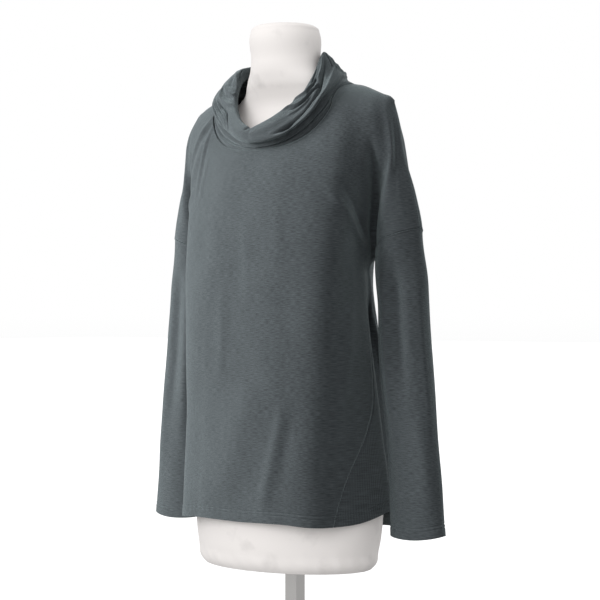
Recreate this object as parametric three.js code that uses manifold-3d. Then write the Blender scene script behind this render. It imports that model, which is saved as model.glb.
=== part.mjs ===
// A cowl neck sweater on a limbless dress form with a post and a round foot. Millimetres, +Z up. The
// front faces -Y and the wearer's left is +X. The origin is under the foot, on the post's axis. Heights
// in the tables are above the form's underside, and the group that holds form and sweater stands on the
// post.
import * as THREE from "three";
import { mergeVertices } from "three/addons/utils/BufferGeometryUtils.js";
import Module from "manifold-3d";

const wasm = await Module();
wasm.setup();

// Driving dimensions
const FORM_UNDERSIDE = 200; // height of the form's underside above the floor
const FORM_HEIGHT = 839;
const CLOTH = 2; // wall of the cloth
const SEAM_GAP = 0.4; // between two pieces at a seam
const SLEEVE_GAP = 0.7; // in height, at the sloping seam of a sleeve
const CORNER_GAP = 0.5; // more on each side at the shoulder's outer corner, where the wall turns over
const NECK_GAP = 0.8; // between the collar's lower edge and the panels
const COLLAR_LIFT = 2; // the collar above the body beside its seam
const COLLAR_TURN_IN = 4; // how far the cloth turns in at the collar's rim
const LOBE_X = 205; // middle of the dropped shoulder
const FOOT_RADIUS = 150;
const FOOT_THICKNESS = 6;
const BOSS_SIDE = 44;
const BOSS_HEIGHT = 34;
const POST_SIDE = 22;
const POST_WALL = 2;
const SOCKET_DEPTH = 60; // how far the post goes up into the form
const FIT = 0.3; // clearance of the post in its boss and in the form
const EDGE = 2; // rounding of the foot's edge
const SLOT_WIDTH = 4; // the post's adjusting slots
const SLOT_HEIGHT = 7;
const SLOT_PLACES = [-4, 4];
const SLOT_TOP = FORM_UNDERSIDE - 3;

// How finely the pieces are divided
const LOWER_ROWS = 13;
const SLEEVE_ROWS = 12;
const COLLAR_ROWS = 12;
const FORM_COLUMNS = 44;
const FOOT_COLUMNS = 64;

// Reads rows of numbers into objects by column name.
function table(columns, rows) {
  return rows.map((row) => Object.fromEntries(columns.map((name, i) => [name, row[i]])));
}

// The sweater's outer surface, one row for each height. The columns go round from the centre front to the
// side: cf centre, mid, corner where the front turns, ridge on the side, valley at the side seam and the
// armhole fold. Above the underarm they go on over the dropped shoulder: inner ridge, face and outer
// fold.
const FRONT = table(
  ["z", "cf", "midX", "midY", "cornerX", "cornerY", "ridgeX", "ridgeY", "valleyX", "valleyY",
    "innerX", "innerY", "faceX", "faceY", "outX", "outY"],
  [
    [30, -143, 78, -139, 143, -106, 177, 16, 167, 30, 183, -29, 216, -32, 248, -8],
    [139, -140, 78, -136, 141, -101, 171, 4, 161, 23, 183, -29, 216, -32, 248, -8],
    [199, -138, 77, -133, 140, -98, 166, 0, 153, 19, 183, -29, 216, -32, 248, -8],
    [290, -135, 76, -130, 141, -95, 158, -6, 142, 12, 183, -29, 216, -32, 248, -8],
    [381, -133, 75, -128, 143, -95, 151, -16, 136, 7, 183, -29, 216, -32, 248, -8],
    [442, -133, 74, -127, 144, -95, 148, -25, 139, 4, 183, -29, 216, -32, 246, -8],
    [460, -132, 73, -127, 144, -95, 147, -27, 138, 4, 183, -29, 216, -32, 246, -8],
    [477, -132, 73, -126, 144, -94, 148, -28, 150, 3, 183, -29, 216, -32, 246, -8],
    [520, -130, 72, -124, 143, -92, 150, -32, 158, -3, 184, -30, 218, -33, 243, -8],
    [569, -122, 72, -116, 142, -88, 156, -40, 171, -15, 190, -31, 215, -30, 232, -8],
    [629, -101, 70, -98, 138, -80, 165, -53, 184, -38, 198, -30, 206, -21, 214, -9],
    [679, -76, 66, -75, 130, -68, 159, -54, 180, -42, 191, -31, 201, -20, 205, -10],
    [711, -64, 62, -63, 120, -58, 150, -47, 171, -38, 184, -30, 192, -22, 196, -9],
    [760, -58, 58, -57, 112, -52, 142, -44, 160, -34, 175, -25, 187, -15, 196, -9],
  ],
);
const BACK = table(
  ["z", "cb", "midX", "midY", "cornerX", "cornerY", "sideX", "sideY", "valleyX", "valleyY",
    "innerX", "innerY", "faceX", "faceY"],
  [
    [30, 128, 80, 123, 141, 87, 167, 54, 167, 36, 184, 22, 216, 24],
    [139, 117, 79, 112, 134, 78, 160, 47, 161, 29, 184, 22, 216, 24],
    [199, 111, 77, 106, 128, 72, 151, 42, 153, 25, 184, 22, 216, 24],
    [290, 104, 73, 98, 118, 62, 142, 34, 142, 18, 184, 22, 216, 24],
    [381, 100, 70, 92, 113, 56, 137, 29, 138, 13, 184, 22, 216, 24],
    [442, 98, 68, 88, 108, 51, 126, 26, 139, 10, 184, 22, 216, 24],
    [460, 98, 68, 88, 109, 51, 124, 26, 138, 9, 184, 22, 216, 24],
    [477, 97, 69, 88, 112, 53, 139, 27, 150, 9, 184, 22, 216, 24],
    [520, 97, 71, 89, 122, 60, 150, 36, 161, 15, 186, 23, 220, 22],
    [569, 98, 72, 92, 130, 66, 160, 42, 174, 23, 192, 21, 216, 13],
    [629, 97, 72, 92, 132, 70, 164, 45, 182, 28, 191, 20, 203, 7],
    [679, 92, 70, 88, 130, 68, 157, 44, 172, 29, 183, 18, 195, 6],
    [711, 86, 66, 82, 122, 64, 148, 42, 166, 28, 180, 16, 191, 4],
    [760, 76, 62, 72, 114, 56, 143, 38, 161, 25, 175, 13, 187, 3],
  ],
);
// Where each column stands across a panel, as u from 0 at the centre to 2 at the outer fold.
const U_MID = 0.35;
const U_CORNER = 0.7;
const U_RIDGE = 1;
const U_VALLEY = 1.25;
const U_INNER = 1.5;
const U_FACE = 1.75;
const U_OUT = 2;
const U_NECK = 0.66; // the shoulder seam starts here, at the neck
const SEAM_STEP = 0.03; // from the valley to the side seam at the underarm
const HALF_RING = 2 * (U_VALLEY + SEAM_STEP);

// The top line of the shoulders, by u. Both panels round over to it.
const SHOULDER = table(
  ["u", "x", "y", "z"],
  [
    [0, 0, 4, 752],
    [U_MID, 58, 4, 750],
    [U_NECK, 114, 3, 743],
    [U_RIDGE, 140, 0, 737],
    [U_VALLEY, 158, -3, 730],
    [U_INNER, 174, -5, 723],
    [U_FACE, 187, -7, 718],
    [U_OUT, 196, -9, 711],
  ],
);
const SHOULDER_ROUND = 45; // height over which a panel rounds over to the top line

// The neckline on each panel. The front's ends at U_NECK, and from there its edge runs up to the shoulder
// seam.
const FRONT_NECK = table(
  ["u", "z"],
  [[0, 642], [0.2, 645], [0.35, 652], [0.46, 664], [0.56, 682], [U_NECK, 704]],
);
const BACK_NECK = table(
  ["u", "z"],
  [[0, 732], [0.2, 733], [0.4, 736], [0.55, 740], [U_NECK, 743]],
);

// The lower edges: the hem all round by ring parameter, and the sleeve seam by u.
const HEM = table(
  ["q", "z"],
  [
    [0, 77], [0.35, 78], [0.7, 74.5], [0.82, 76], [1, 91],
    [1.28, 96], [1.56, 77], [1.86, 61], [2.21, 53], [2.56, 50],
  ],
);
const UNDERARM = 477;
const SLEEVE_SEAM = table(
  ["u", "z"],
  [[U_VALLEY, UNDERARM], [1.38, 489], [U_INNER, 499], [U_FACE, 511], [U_OUT, 520]],
);
// The side seam swings forward to the front hem. q is its place on the ring.
const SIDE_SEAM = table(
  ["z", "q"],
  [
    [30, 0.7], [75, 0.73], [149, 0.8], [202, 0.88], [251, 0.95],
    [316, 0.99], [375, 1.03], [416, 1.09], [477, 1.28],
  ],
);

// Large folds. u and z run from the fold's upper end to its lower end, width is in u and height in mm.
const FOLDS = table(
  ["panel", "u1", "z1", "u2", "z2", "width", "height"],
  [
    ["front", -0.66, 706, -0.88, 590, 0.05, 5],
    ["front", -0.6, 680, -0.72, 580, 0.06, 3],
    ["front", 0.98, 640, 0.72, 470, 0.16, 4],
    ["front", -0.42, 470, -0.5, 250, 0.16, 4],
    ["front", 0.12, 300, -0.12, 110, 0.16, 5],
    ["front", 0.5, 560, 0.62, 330, 0.2, 3],
    ["front", -0.1, 600, -0.05, 400, 0.2, -2],
    ["front", 1.62, 700, 1.6, 520, 0.1, 5],
    ["front", -1.62, 700, -1.6, 520, 0.1, 5],
    ["back", 0.5, 600, 0.62, 90, 0.18, 7],
    ["back", 0.12, 560, 0.2, 80, 0.16, -6],
    ["back", -0.3, 590, -0.34, 90, 0.18, 7],
    ["back", -0.75, 560, -0.8, 110, 0.14, -5],
    ["back", 1.6, 690, 1.6, 520, 0.12, 5],
    ["back", -1.6, 690, -1.6, 520, 0.12, 5],
  ],
);

// The sleeves below their seam: an oval by height, centre and half sizes, with a ridge and a trough on
// each face.
const SLEEVE = table(
  ["z", "centreX", "centreY", "halfX", "halfY"],
  [
    [60, 238, -8, 48, 20],
    [204, 227.5, -7, 44, 22],
    [304, 217, -6, 44.5, 26],
    [412, 209.5, -6, 42.5, 26],
    [470, 204, -4, 46, 27],
    [520, 200, -4, 49, 28],
  ],
);
const SLEEVE_FOLDS = table(
  ["side", "turn", "z1", "z2", "width", "height"],
  [
    [1, 0.17, 520, 200, 0.035, 4],
    [1, 0.27, 500, 260, 0.045, -7],
    [1, 0.72, 500, 150, 0.05, -6],
    [1, 0.36, 260, 90, 0.05, 3],
    [-1, 0.2, 500, 180, 0.04, 4],
    [-1, 0.3, 480, 220, 0.05, -6],
    [-1, 0.7, 500, 120, 0.05, -6],
    [-1, 0.38, 300, 100, 0.05, 3],
  ],
);
const CUFF = table(["turn", "z"], [[0, 60], [0.25, 56], [0.5, 64], [0.75, 60], [1, 60]]);
const SLEEVE_MERGE = 85; // length over which the sleeve's top takes the armhole's shape

// The collar's profile, one row for each direction round the neck: 0 front, 90 the wearer's left. From
// its seam the cloth turns at a low fold, swells, dips in a crease, swells again and turns in at the rim,
// and its inside goes down to tuckZ.
const COLLAR_AXIS_Y = -15;
const COLLAR = table(
  ["turn", "foldR", "foldZ", "rollR", "rollZ", "creaseR", "creaseZ", "swellR", "swellZ",
    "rimR", "rimZ", "tuckZ"],
  [
    [0, 87, 645, 99, 651, 101, 660, 99, 667, 93, 673, 650],
    [22, 95, 648, 106, 655, 104, 668, 100, 680, 87, 691, 670],
    [38, 103, 659, 113, 667, 105, 685, 98, 697, 84, 708, 684],
    [52, 114, 683, 121, 693, 108, 708, 97, 718, 83, 727, 712],
    [62, 116, 709, 121, 718, 106, 729, 92, 741, 80, 748, 738],
    [76, 109, 732, 111, 741, 98, 752, 86, 764, 72, 775, 766],
    [90, 101, 748, 101, 756, 91, 767, 81, 780, 66, 794, 782],
    [105, 96, 752, 94, 760, 86, 770, 76, 782, 61, 796, 783],
    [130, 91, 755, 90, 762, 82, 770, 73, 781, 58, 796, 775],
    [155, 84, 753, 86, 760, 78, 769, 71, 780, 57, 795, 773],
    [180, 82, 751, 85, 759, 78, 768, 71, 779, 58, 793, 771],
    [205, 86, 752, 90, 760, 82, 769, 74, 780, 59, 791, 770],
    [230, 97, 755, 102, 762, 92, 770, 83, 780, 65, 790, 770],
    [255, 113, 756, 120, 762, 109, 768, 100, 777, 80, 788, 770],
    [270, 120, 752, 126, 758, 114, 764, 105, 774, 86, 784, 766],
    [278, 122, 744, 128, 751, 118, 758, 109, 769, 87, 780, 760],
    [289, 122, 720, 129, 729, 121, 738, 112, 750, 87, 763, 742],
    [306, 104, 684, 113, 694, 111, 705, 104, 716, 85, 728, 708],
    [322, 91, 667, 101, 676, 102, 688, 98, 698, 84, 707, 684],
    [340, 86, 652, 96, 660, 101, 670, 99, 679, 87, 689, 666],
    [360, 87, 645, 99, 651, 101, 660, 99, 667, 93, 673, 650],
  ],
);

// The dress form: half width, front and back by height.
const FORM = table(
  ["z", "half", "front", "back"],
  [
    [0, 146, -117, 80],
    [5, 151, -121, 84],
    [28, 157, -127, 90],
    [60, 162, -130, 94],
    [139, 159, -128, 98],
    [199, 145, -124, 92],
    [289, 124, -114, 74],
    [349, 112, -107, 62],
    [409, 116, -110, 66],
    [489, 126, -118, 78],
    [549, 134, -121.7, 84],
    [589, 142, -111, 86],
    [639, 158, -88, 84],
    [672, 168, -70, 78],
    [690, 170, -58, 68],
    [704, 158, -50, 58],
    [714, 134, -48, 48],
    [724, 106, -50, 38],
    [735, 85, -56, 32],
    [747, 75, -64, 30],
    [758, 68, -69, 29.5],
    [766, 62, -72, 29],
    [775, 58, -74, 29],
    [785, 56, -75, 29],
    [829, 54, -79, 29],
    [836, 51, -76, 26],
    [FORM_HEIGHT, 46, -71, 21],
  ],
);

const point = (x, y, z) => new THREE.Vector3(x, y, z);
const clamp01 = (t) => Math.min(1, Math.max(0, t));
const smooth = (from, to, t) => {
  const s = clamp01((t - from) / (to - from));
  return s * s * (3 - 2 * s);
};
const bell = (t) => Math.exp(-t * t);

// A smooth curve through the values at the knots. A knot in corners is a crease of strength corners[i], 1
// a sharp one.
function curveAt(knots, values, t, corners = {}) {
  let i = 0;
  while (i < knots.length - 2 && t > knots[i + 1]) i += 1;
  const secant = (k) => (values[k + 1] - values[k]) / (knots[k + 1] - knots[k]);
  const slope = (k, own) => {
    if (k === 0) return secant(0);
    if (k === knots.length - 1) return secant(k - 1);
    const before = knots[k] - knots[k - 1];
    const after = knots[k + 1] - knots[k];
    const both = (secant(k - 1) * after + secant(k) * before) / (before + after);
    return THREE.MathUtils.lerp(both, secant(own), corners[k] ?? 0);
  };
  const span = knots[i + 1] - knots[i];
  const s = Math.min(1, Math.max(0, (t - knots[i]) / span));
  const a = slope(i, i) * span;
  const b = slope(i + 1, i) * span;
  const rise = values[i + 1] - values[i];
  return values[i] + s * a + s * s * (3 * rise - 2 * a - b) + s * s * s * (a + b - 2 * rise);
}

const column = (rows, name) => rows.map((row) => row[name]);
const lookUp = (rows, key, name, t) => curveAt(column(rows, key), column(rows, name), t);

// All columns of a table at one height.
function rowAt(rows, z) {
  const names = Object.keys(rows[0]);
  return Object.fromEntries(names.map((name) => [name, lookUp(rows, "z", name, z)]));
}

// A loop's points at q, where the knots are mirrored at both ends so that the centre lines run straight
// through.
function loopAt(knots, xs, ys, q, creaseKnots, crease) {
  const last = knots.length - 1;
  const allKnots = [-knots[1], ...knots, 2 * knots[last] - knots[last - 1]];
  const allX = [-xs[1], ...xs, -xs[last - 1]];
  const allY = [ys[1], ...ys, ys[last - 1]];
  const corners = Object.fromEntries(creaseKnots.map((k) => [k + 1, crease]));
  return [curveAt(allKnots, allX, q, corners), curveAt(allKnots, allY, q, corners)];
}

// The section above the underarm: front for q from 0 to 2, back for q from 2 to 4.
const UPPER_KNOTS = [0, U_MID, U_CORNER, U_RIDGE, U_VALLEY, U_INNER, U_FACE, U_OUT, 4 - U_FACE, 4 - U_INNER,
  4 - U_VALLEY, 4 - U_RIDGE, 4 - U_CORNER, 4 - U_MID, 4];
function upperSection(q, z) {
  const f = rowAt(FRONT, z);
  const b = rowAt(BACK, z);
  const xs = [0, f.midX, f.cornerX, f.ridgeX, f.valleyX, f.innerX, f.faceX, f.outX, b.faceX, b.innerX,
    b.valleyX, b.sideX, b.cornerX, b.midX, 0];
  const ys = [f.cf, f.midY, f.cornerY, f.ridgeY, f.valleyY, f.innerY, f.faceY, f.outY, b.faceY, b.innerY,
    b.valleyY, b.sideY, b.cornerY, b.midY, b.cb];
  return loopAt(UPPER_KNOTS, xs, ys, q, [4, 10], 1 - smooth(UNDERARM + 15, UNDERARM + 110, z));
}

// The section below the underarm: front, side seam, back, for q from 0 to HALF_RING.
const LOWER_KNOTS = [0, U_MID, U_CORNER, U_RIDGE, U_VALLEY, HALF_RING / 2, HALF_RING - U_VALLEY,
  HALF_RING - U_RIDGE, HALF_RING - U_CORNER, HALF_RING - U_MID, HALF_RING];
function lowerSection(q, z) {
  const f = rowAt(FRONT, z);
  const b = rowAt(BACK, z);
  const xs = [0, f.midX, f.cornerX, f.ridgeX, f.valleyX, f.valleyX, b.valleyX, b.sideX, b.cornerX, b.midX, 0];
  const ys = [f.cf, f.midY, f.cornerY, f.ridgeY, f.valleyY, (f.valleyY + b.valleyY) / 2, b.valleyY,
    b.sideY, b.cornerY, b.midY, b.cb];
  return loopAt(LOWER_KNOTS, xs, ys, q, [4, 6], smooth(UNDERARM - 90, UNDERARM - 10, z));
}

// The rounding over to the shoulder's top line, applied to a point of a section.
function overShoulder(u, z, x, y) {
  const drop = lookUp(SHOULDER, "u", "z", u) - z;
  const share = Math.sqrt(1 - (1 - clamp01(drop / SHOULDER_ROUND)) ** 2);
  const lineX = lookUp(SHOULDER, "u", "x", u);
  const lineY = lookUp(SHOULDER, "u", "y", u);
  return point(lineX + (x - lineX) * share, lineY + (y - lineY) * share, z);
}

// The plain surface of the body. side is 1 on the wearer's left and -1 on the right.
function plainBody(band, q, z, side) {
  const [x, y] = band === "upper" ? upperSection(q, z) : lowerSection(q, z);
  const u = q > U_OUT ? 4 - q : q;
  const p = band === "upper" ? overShoulder(u, z, x, y) : point(x, y, z);
  p.x *= side;
  return p;
}

// The unit normal of a surface f(a, b) by small steps, turned away from a place inside.
function normalOf(f, a, b, stepA, stepB, inside) {
  const along = f(a + stepA, b).sub(f(a - stepA, b));
  const up = f(a, b + stepB).sub(f(a, b - stepB));
  const n = along.cross(up).normalize();
  return n.dot(inside.clone().sub(f(a, b))) > 0 ? n.negate() : n;
}

// How far the folds stand out at a place of a panel.
function foldHeight(panel, u, z) {
  let height = 0;
  for (const fold of FOLDS) {
    if (fold.panel !== panel) continue;
    const along = (fold.z1 - z) / (fold.z1 - fold.z2);
    const centre = THREE.MathUtils.lerp(fold.u1, fold.u2, clamp01(along));
    const fade = smooth(-0.05, 0.25, along) * (1 - smooth(0.75, 1.1, along));
    height += fold.height * fade * bell((u - centre) / fold.width);
  }
  return height;
}

// The body's surface with its folds, by signed u across a panel.
function bodyPoint(band, panel, u, z, ring) {
  const side = u < 0 ? -1 : 1;
  const size = Math.abs(u);
  const q = ring ?? (panel === "front" ? size : (band === "upper" ? 4 : HALF_RING) - size);
  const p = plainBody(band, q, z, side);
  const height = foldHeight(panel, u, z);
  if (Math.abs(height) < 0.01) return p;
  const surface = (a, b) => plainBody(band, a, b, side);
  const inside = point(size > U_VALLEY ? side * LOBE_X : 0, 0, z);
  return p.addScaledVector(normalOf(surface, q, z, 0.01, 1, inside), height);
}

// A sheet of quads that becomes a wall of cloth. The points are the cloth's outer face. At a cut edge the
// wall's thickness lies level, or square to a shoulder seam, so that two pieces keep their gap.
const CUT = { none: "none", level: "level", shoulder: "shoulder" };

class Sheet {
  constructor(flipped = false) {
    this.flipped = flipped;
    this.points = [];
    this.cuts = [];
    this.given = [];
    this.quads = [];
  }

  // A point, how the wall is cut there, and the normal if another piece must share it.
  add(p, cut = CUT.none, normal = null) {
    this.cuts.push(cut);
    this.given.push(normal);
    return this.points.push(p) - 1;
  }

  // Two rows of the same length joined by quads, closed round if asked.
  join(lower, upper, closed = false) {
    const last = closed ? lower.length : lower.length - 1;
    for (let i = 0; i < last; i += 1) {
      const k = (i + 1) % lower.length;
      const [a, b, c, d] = [lower[i], lower[k], upper[k], upper[i]];
      // Each quad is split from its first corner to its third, and the two sides of a piece mirror each
      // other.
      const right = this.points[a].x + this.points[b].x < 0;
      const [e, f, g, h] = right !== this.flipped ? [b, c, d, a] : [a, b, c, d];
      this.quads.push(this.flipped ? [e, h, g, f] : [e, f, g, h]);
    }
  }

  // The direction out of the cloth at each point, as the mean of the quads that meet there.
  normals() {
    const normals = this.points.map(() => point(0, 0, 0));
    for (const quad of this.quads) {
      const [a, b, c, d] = quad.map((i) => this.points[i]);
      const facing = c.clone().sub(a).cross(d.clone().sub(b)).normalize();
      quad.forEach((i) => normals[i].add(facing));
    }
    normals.forEach((n, i) => {
      if (this.given[i]) n.copy(this.given[i]);
      if (this.cuts[i] === CUT.level) n.setZ(0);
      if (this.cuts[i] === CUT.shoulder) n.setY(0);
      n.normalize();
    });
    return normals;
  }

  // The outer faces, the inner faces one wall further in, and a rim along every free edge.
  wall(thickness) {
    const count = this.points.length;
    const normals = this.normals();
    const inner = this.points.map((p, i) => p.clone().addScaledVector(normals[i], -thickness));
    const vertices = [...this.points, ...inner];
    const faces = [];
    const edges = new Map();
    for (const [a, b, c, d] of this.quads) {
      faces.push([a, b, c], [a, c, d]);
      faces.push([a + count, c + count, b + count], [a + count, d + count, c + count]);
      for (const [from, to] of [[a, b], [b, c], [c, d], [d, a]]) {
        if (!edges.delete(`${to} ${from}`)) edges.set(`${from} ${to}`, [from, to]);
      }
    }
    for (const [from, to] of edges.values()) {
      // The rims of two neighbouring pieces are split the same way, from the higher outer point to the
      // lower inner one.
      const a = this.points[from];
      const b = this.points[to];
      const rising = b.z - a.z > 1e-6 || (Math.abs(b.z - a.z) <= 1e-6 && b.x > a.x);
      if (rising) faces.push([to, from, from + count], [to, from + count, to + count]);
      else faces.push([to, from, to + count], [from, from + count, to + count]);
    }
    return geometryOf(vertices, faces);
  }
}

function geometryOf(vertices, faces) {
  const geometry = new THREE.BufferGeometry();
  const flat = faces.flat().flatMap((i) => vertices[i].toArray());
  geometry.setAttribute("position", new THREE.Float32BufferAttribute(flat, 3));
  return mergeVertices(geometry, 1e-4);
}

function steps(from, to, count) {
  return Array.from({ length: count + 1 }, (_, i) => from + ((to - from) * i) / count);
}

// The places of a panel's columns on each side of its centre, as u.
const NECK_COLUMNS = [0, 0.12, 0.24, 0.35, 0.43, 0.5, 0.56, 0.61, U_NECK];
const BODY_COLUMNS = [...NECK_COLUMNS, 0.74, 0.82, 0.9, U_RIDGE, 1.08, 1.16, U_VALLEY];
const LOBE_COLUMNS = [1.29, 1.35, 1.42, U_INNER, 1.58, 1.66, U_FACE, 1.84, 1.92, U_OUT];
// The shares of a column's height at which its rows stand above the underarm. The last rows of the front
// have no cloth between the two neck edges.
const NECK_CORNER = lookUp(FRONT_NECK, "u", "z", U_NECK);
const NECK_TOP = lookUp(SHOULDER, "u", "z", U_NECK);
const NECK_SHARE = (NECK_CORNER - UNDERARM) / (NECK_TOP - UNDERARM);
const crowded = (t) => THREE.MathUtils.lerp(t, Math.sin((t * Math.PI) / 2), 0.65);
const ROWS = {
  front: steps(0, NECK_SHARE, 8),
  shoulder: steps(0, 1, 6).slice(1).map((t) => NECK_SHARE + (1 - NECK_SHARE) * crowded(t)),
  back: steps(0, 1, 12).map(crowded),
};

// The height of a row above the underarm, on the column at size.
function rowHeight(panel, size, share) {
  const bottom = size > U_VALLEY ? lookUp(SLEEVE_SEAM, "u", "z", size) : UNDERARM;
  if (size >= U_NECK) return THREE.MathUtils.lerp(bottom, lookUp(SHOULDER, "u", "z", size), share);
  const neck = panel === "front" ? FRONT_NECK : BACK_NECK;
  const last = panel === "front" ? NECK_SHARE : 1;
  return THREE.MathUtils.lerp(bottom, lookUp(neck, "u", "z", size), share / last);
}

// One row of a panel above the underarm, over the given columns.
function upperRow(sheet, panel, columns, share) {
  return columns.map((u) => {
    const size = Math.abs(u);
    const p = bodyPoint("upper", panel, u, rowHeight(panel, size, share));
    const onSeam = (share === 1 && size >= U_NECK) || size === U_OUT;
    const gap = SEAM_GAP / 2 + CORNER_GAP * smooth(U_FACE, U_OUT, size) * smooth(0.85, 1, share);
    if (onSeam) p.y += panel === "front" ? -gap : gap;
    if (share === 0 && size >= U_VALLEY) return sheet.add(p, CUT.level, armholeNormal(panel, u, true));
    return onSeam ? sheet.add(p, CUT.shoulder, shoulderNormal(u, p.z)) : sheet.add(p);
  });
}

// One body panel: rows above the underarm as far as the outer fold, and rows below it as far as the side
// seam.
function bodyPanel(panel) {
  const sheet = new Sheet(panel === "back");
  const half = [...BODY_COLUMNS, ...LOBE_COLUMNS];
  const columns = [...half.slice(1).reverse().map((u) => -u), ...half];
  const rings = ROWS[panel].map((share) => upperRow(sheet, panel, columns, share));
  rings.slice(1).forEach((ring, i) => sheet.join(rings[i], ring));
  if (panel === "front") {
    for (const side of [-1, 1]) {
      const shoulder = columns.filter((u) => u * side >= U_NECK);
      let under = rings[rings.length - 1].filter((_, i) => columns[i] * side >= U_NECK);
      for (const share of ROWS.shoulder) {
        const ring = upperRow(sheet, panel, shoulder, share);
        sheet.join(under, ring);
        under = ring;
      }
    }
  }
  const inner = columns.filter((u) => Math.abs(u) <= U_VALLEY);
  const edge = U_VALLEY + SEAM_STEP;
  const across = [-edge, ...inner, edge];
  const first = columns.indexOf(inner[0]);
  const underarm = rings[0].slice(first, first + inner.length);
  const corner = (side) => sheet.add(lowerPoint(panel, side * edge, 0), CUT.level, seamNormal(0, side));
  let above = [corner(-1), ...underarm, corner(1)];
  for (const share of steps(0, 1, LOWER_ROWS).slice(1)) {
    const below = across.map((u) => {
      const p = lowerPoint(panel, u, share);
      if (Math.abs(u) > U_VALLEY) return sheet.add(p, CUT.level, seamNormal(share, Math.sign(u)));
      return sheet.add(p, share === 1 ? CUT.level : CUT.none);
    });
    sheet.join(below, above);
    above = below;
  }
  return sheet.wall(CLOTH);
}

// The place on the lower ring of a column that starts at u under the arm, at one height.
const RING_PER_MM = 0.0055; // ring parameter for each millimetre round the side
function ringPlace(panel, u, z) {
  const size = Math.abs(u) / (U_VALLEY + SEAM_STEP);
  const seam = lookUp(SIDE_SEAM, "z", "q", z);
  const gap = size >= 1 ? (SEAM_GAP / 2) * RING_PER_MM : 0;
  return panel === "front" ? seam * size - gap : HALF_RING - (HALF_RING - seam) * size + gap;
}

// The normal at the shoulder seam and on down the outer fold, which both panels share.
function shoulderNormal(u, z) {
  const size = Math.abs(u);
  const slope = (name) => lookUp(SHOULDER, "u", name, size) - lookUp(SHOULDER, "u", name, size - 0.02);
  const over = point(-slope("z"), 0, slope("x")).normalize();
  if (size < U_OUT) return point(Math.sign(u) * over.x, 0, over.z);
  const lean = (lookUp(FRONT, "z", "outX", z + 1) - lookUp(FRONT, "z", "outX", z - 1)) / 2;
  const out = point(1, 0, -lean).normalize();
  if (z > lookUp(SHOULDER, "u", "z", U_OUT) - 1) out.add(over).normalize();
  return point(Math.sign(u) * out.x, 0, out.z);
}

// The normal at the side seam, which both panels share.
function seamNormal(share, side) {
  const z = THREE.MathUtils.lerp(UNDERARM, seamHem(), share);
  const q = lookUp(SIDE_SEAM, "z", "q", z);
  return normalOf((a, b) => plainBody("lower", a, b, side), q, z, 0.02, 2, point(0, 0, z));
}

// The normal at the armhole's lower edge, which panel and sleeve share except under the arm.
function armholeNormal(panel, u, onPanel) {
  if (Math.abs(u) === U_OUT) return point(Math.sign(u), 0, 0);
  if (Math.abs(u) === U_VALLEY) return onPanel ? point(Math.sign(u), panel === "front" ? -1 : 1, 0) : null;
  const z = lookUp(SLEEVE_SEAM, "u", "z", Math.abs(u));
  const out = Math.min(U_OUT - 0.02, Math.max(U_VALLEY + 0.02, Math.abs(u)));
  const q = panel === "front" ? out : 4 - out;
  const side = Math.sign(u);
  return normalOf((a, b) => plainBody("upper", a, b, side), q, z, 0.015, 2, point(side * LOBE_X, -4, z));
}

// Where the side seam meets the hem.
function seamHem() {
  let z = UNDERARM;
  for (let pass = 0; pass < 12; pass += 1) {
    z = (z + lookUp(HEM, "q", "z", lookUp(SIDE_SEAM, "z", "q", z))) / 2;
  }
  return z;
}

// A point below the underarm. share runs from 0 there to 1 at the hem.
function lowerPoint(panel, u, share) {
  const side = u < 0 ? -1 : 1;
  let z = UNDERARM;
  for (let pass = 0; pass < 4; pass += 1) {
    z = THREE.MathUtils.lerp(UNDERARM, lookUp(HEM, "q", "z", ringPlace(panel, u, z)), share);
  }
  const q = ringPlace(panel, u, z);
  const onFront = q <= HALF_RING / 2 + 0.01;
  return bodyPoint("lower", onFront ? "front" : "back", side * (onFront ? q : HALF_RING - q), z, q);
}

// The armhole's lower edge, which is the sleeve's top. It runs from under the arm over the front to the
// outer fold and back behind. The turn of a place is its direction on the sleeve's oval, from 0 under the
// arm to 1.
const ARMHOLE = [
  ...[U_VALLEY, ...LOBE_COLUMNS].map((u) => ({ panel: "front", u })),
  ...[...LOBE_COLUMNS.slice(0, -1).reverse(), U_VALLEY].map((u) => ({ panel: "back", u })),
];
const UNDERARM_TURN = 0.012; // the first and last places stand this far from turn 0
for (const place of ARMHOLE) {
  const share = (place.u - U_VALLEY) / (U_OUT - U_VALLEY);
  const turn = UNDERARM_TURN + (0.5 - UNDERARM_TURN) * share;
  place.turn = place.panel === "front" ? turn : 1 - turn;
}

function armholePoint(place, side) {
  const z = lookUp(SLEEVE_SEAM, "u", "z", place.u);
  return bodyPoint("upper", place.panel, side * place.u, z);
}

function sleevePoint(place, z, side) {
  const { turn } = place;
  const row = rowAt(SLEEVE, z);
  const angle = turn * 2 * Math.PI;
  const oval = point(row.centreX - row.halfX * Math.cos(angle), row.centreY - row.halfY * Math.sin(angle), z);
  oval.x *= side;
  const out = point(-Math.cos(angle) * side, -Math.sin(angle), 0);
  for (const fold of SLEEVE_FOLDS) {
    if (fold.side !== side) continue;
    const along = (fold.z1 - z) / (fold.z1 - fold.z2);
    const fade = smooth(-0.05, 0.3, along) * (1 - smooth(0.6, 1.15, along));
    oval.addScaledVector(out, fold.height * fade * bell((turn - fold.turn) / fold.width));
  }
  const top = armholePoint(place, side);
  const inner = bell(Math.min(turn, 1 - turn) / 0.06);
  top.x += side * 2 * SEAM_GAP * inner;
  const share = smooth(0, SLEEVE_MERGE, top.z - z);
  return top.setZ(z).lerp(oval, share);
}

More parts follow.
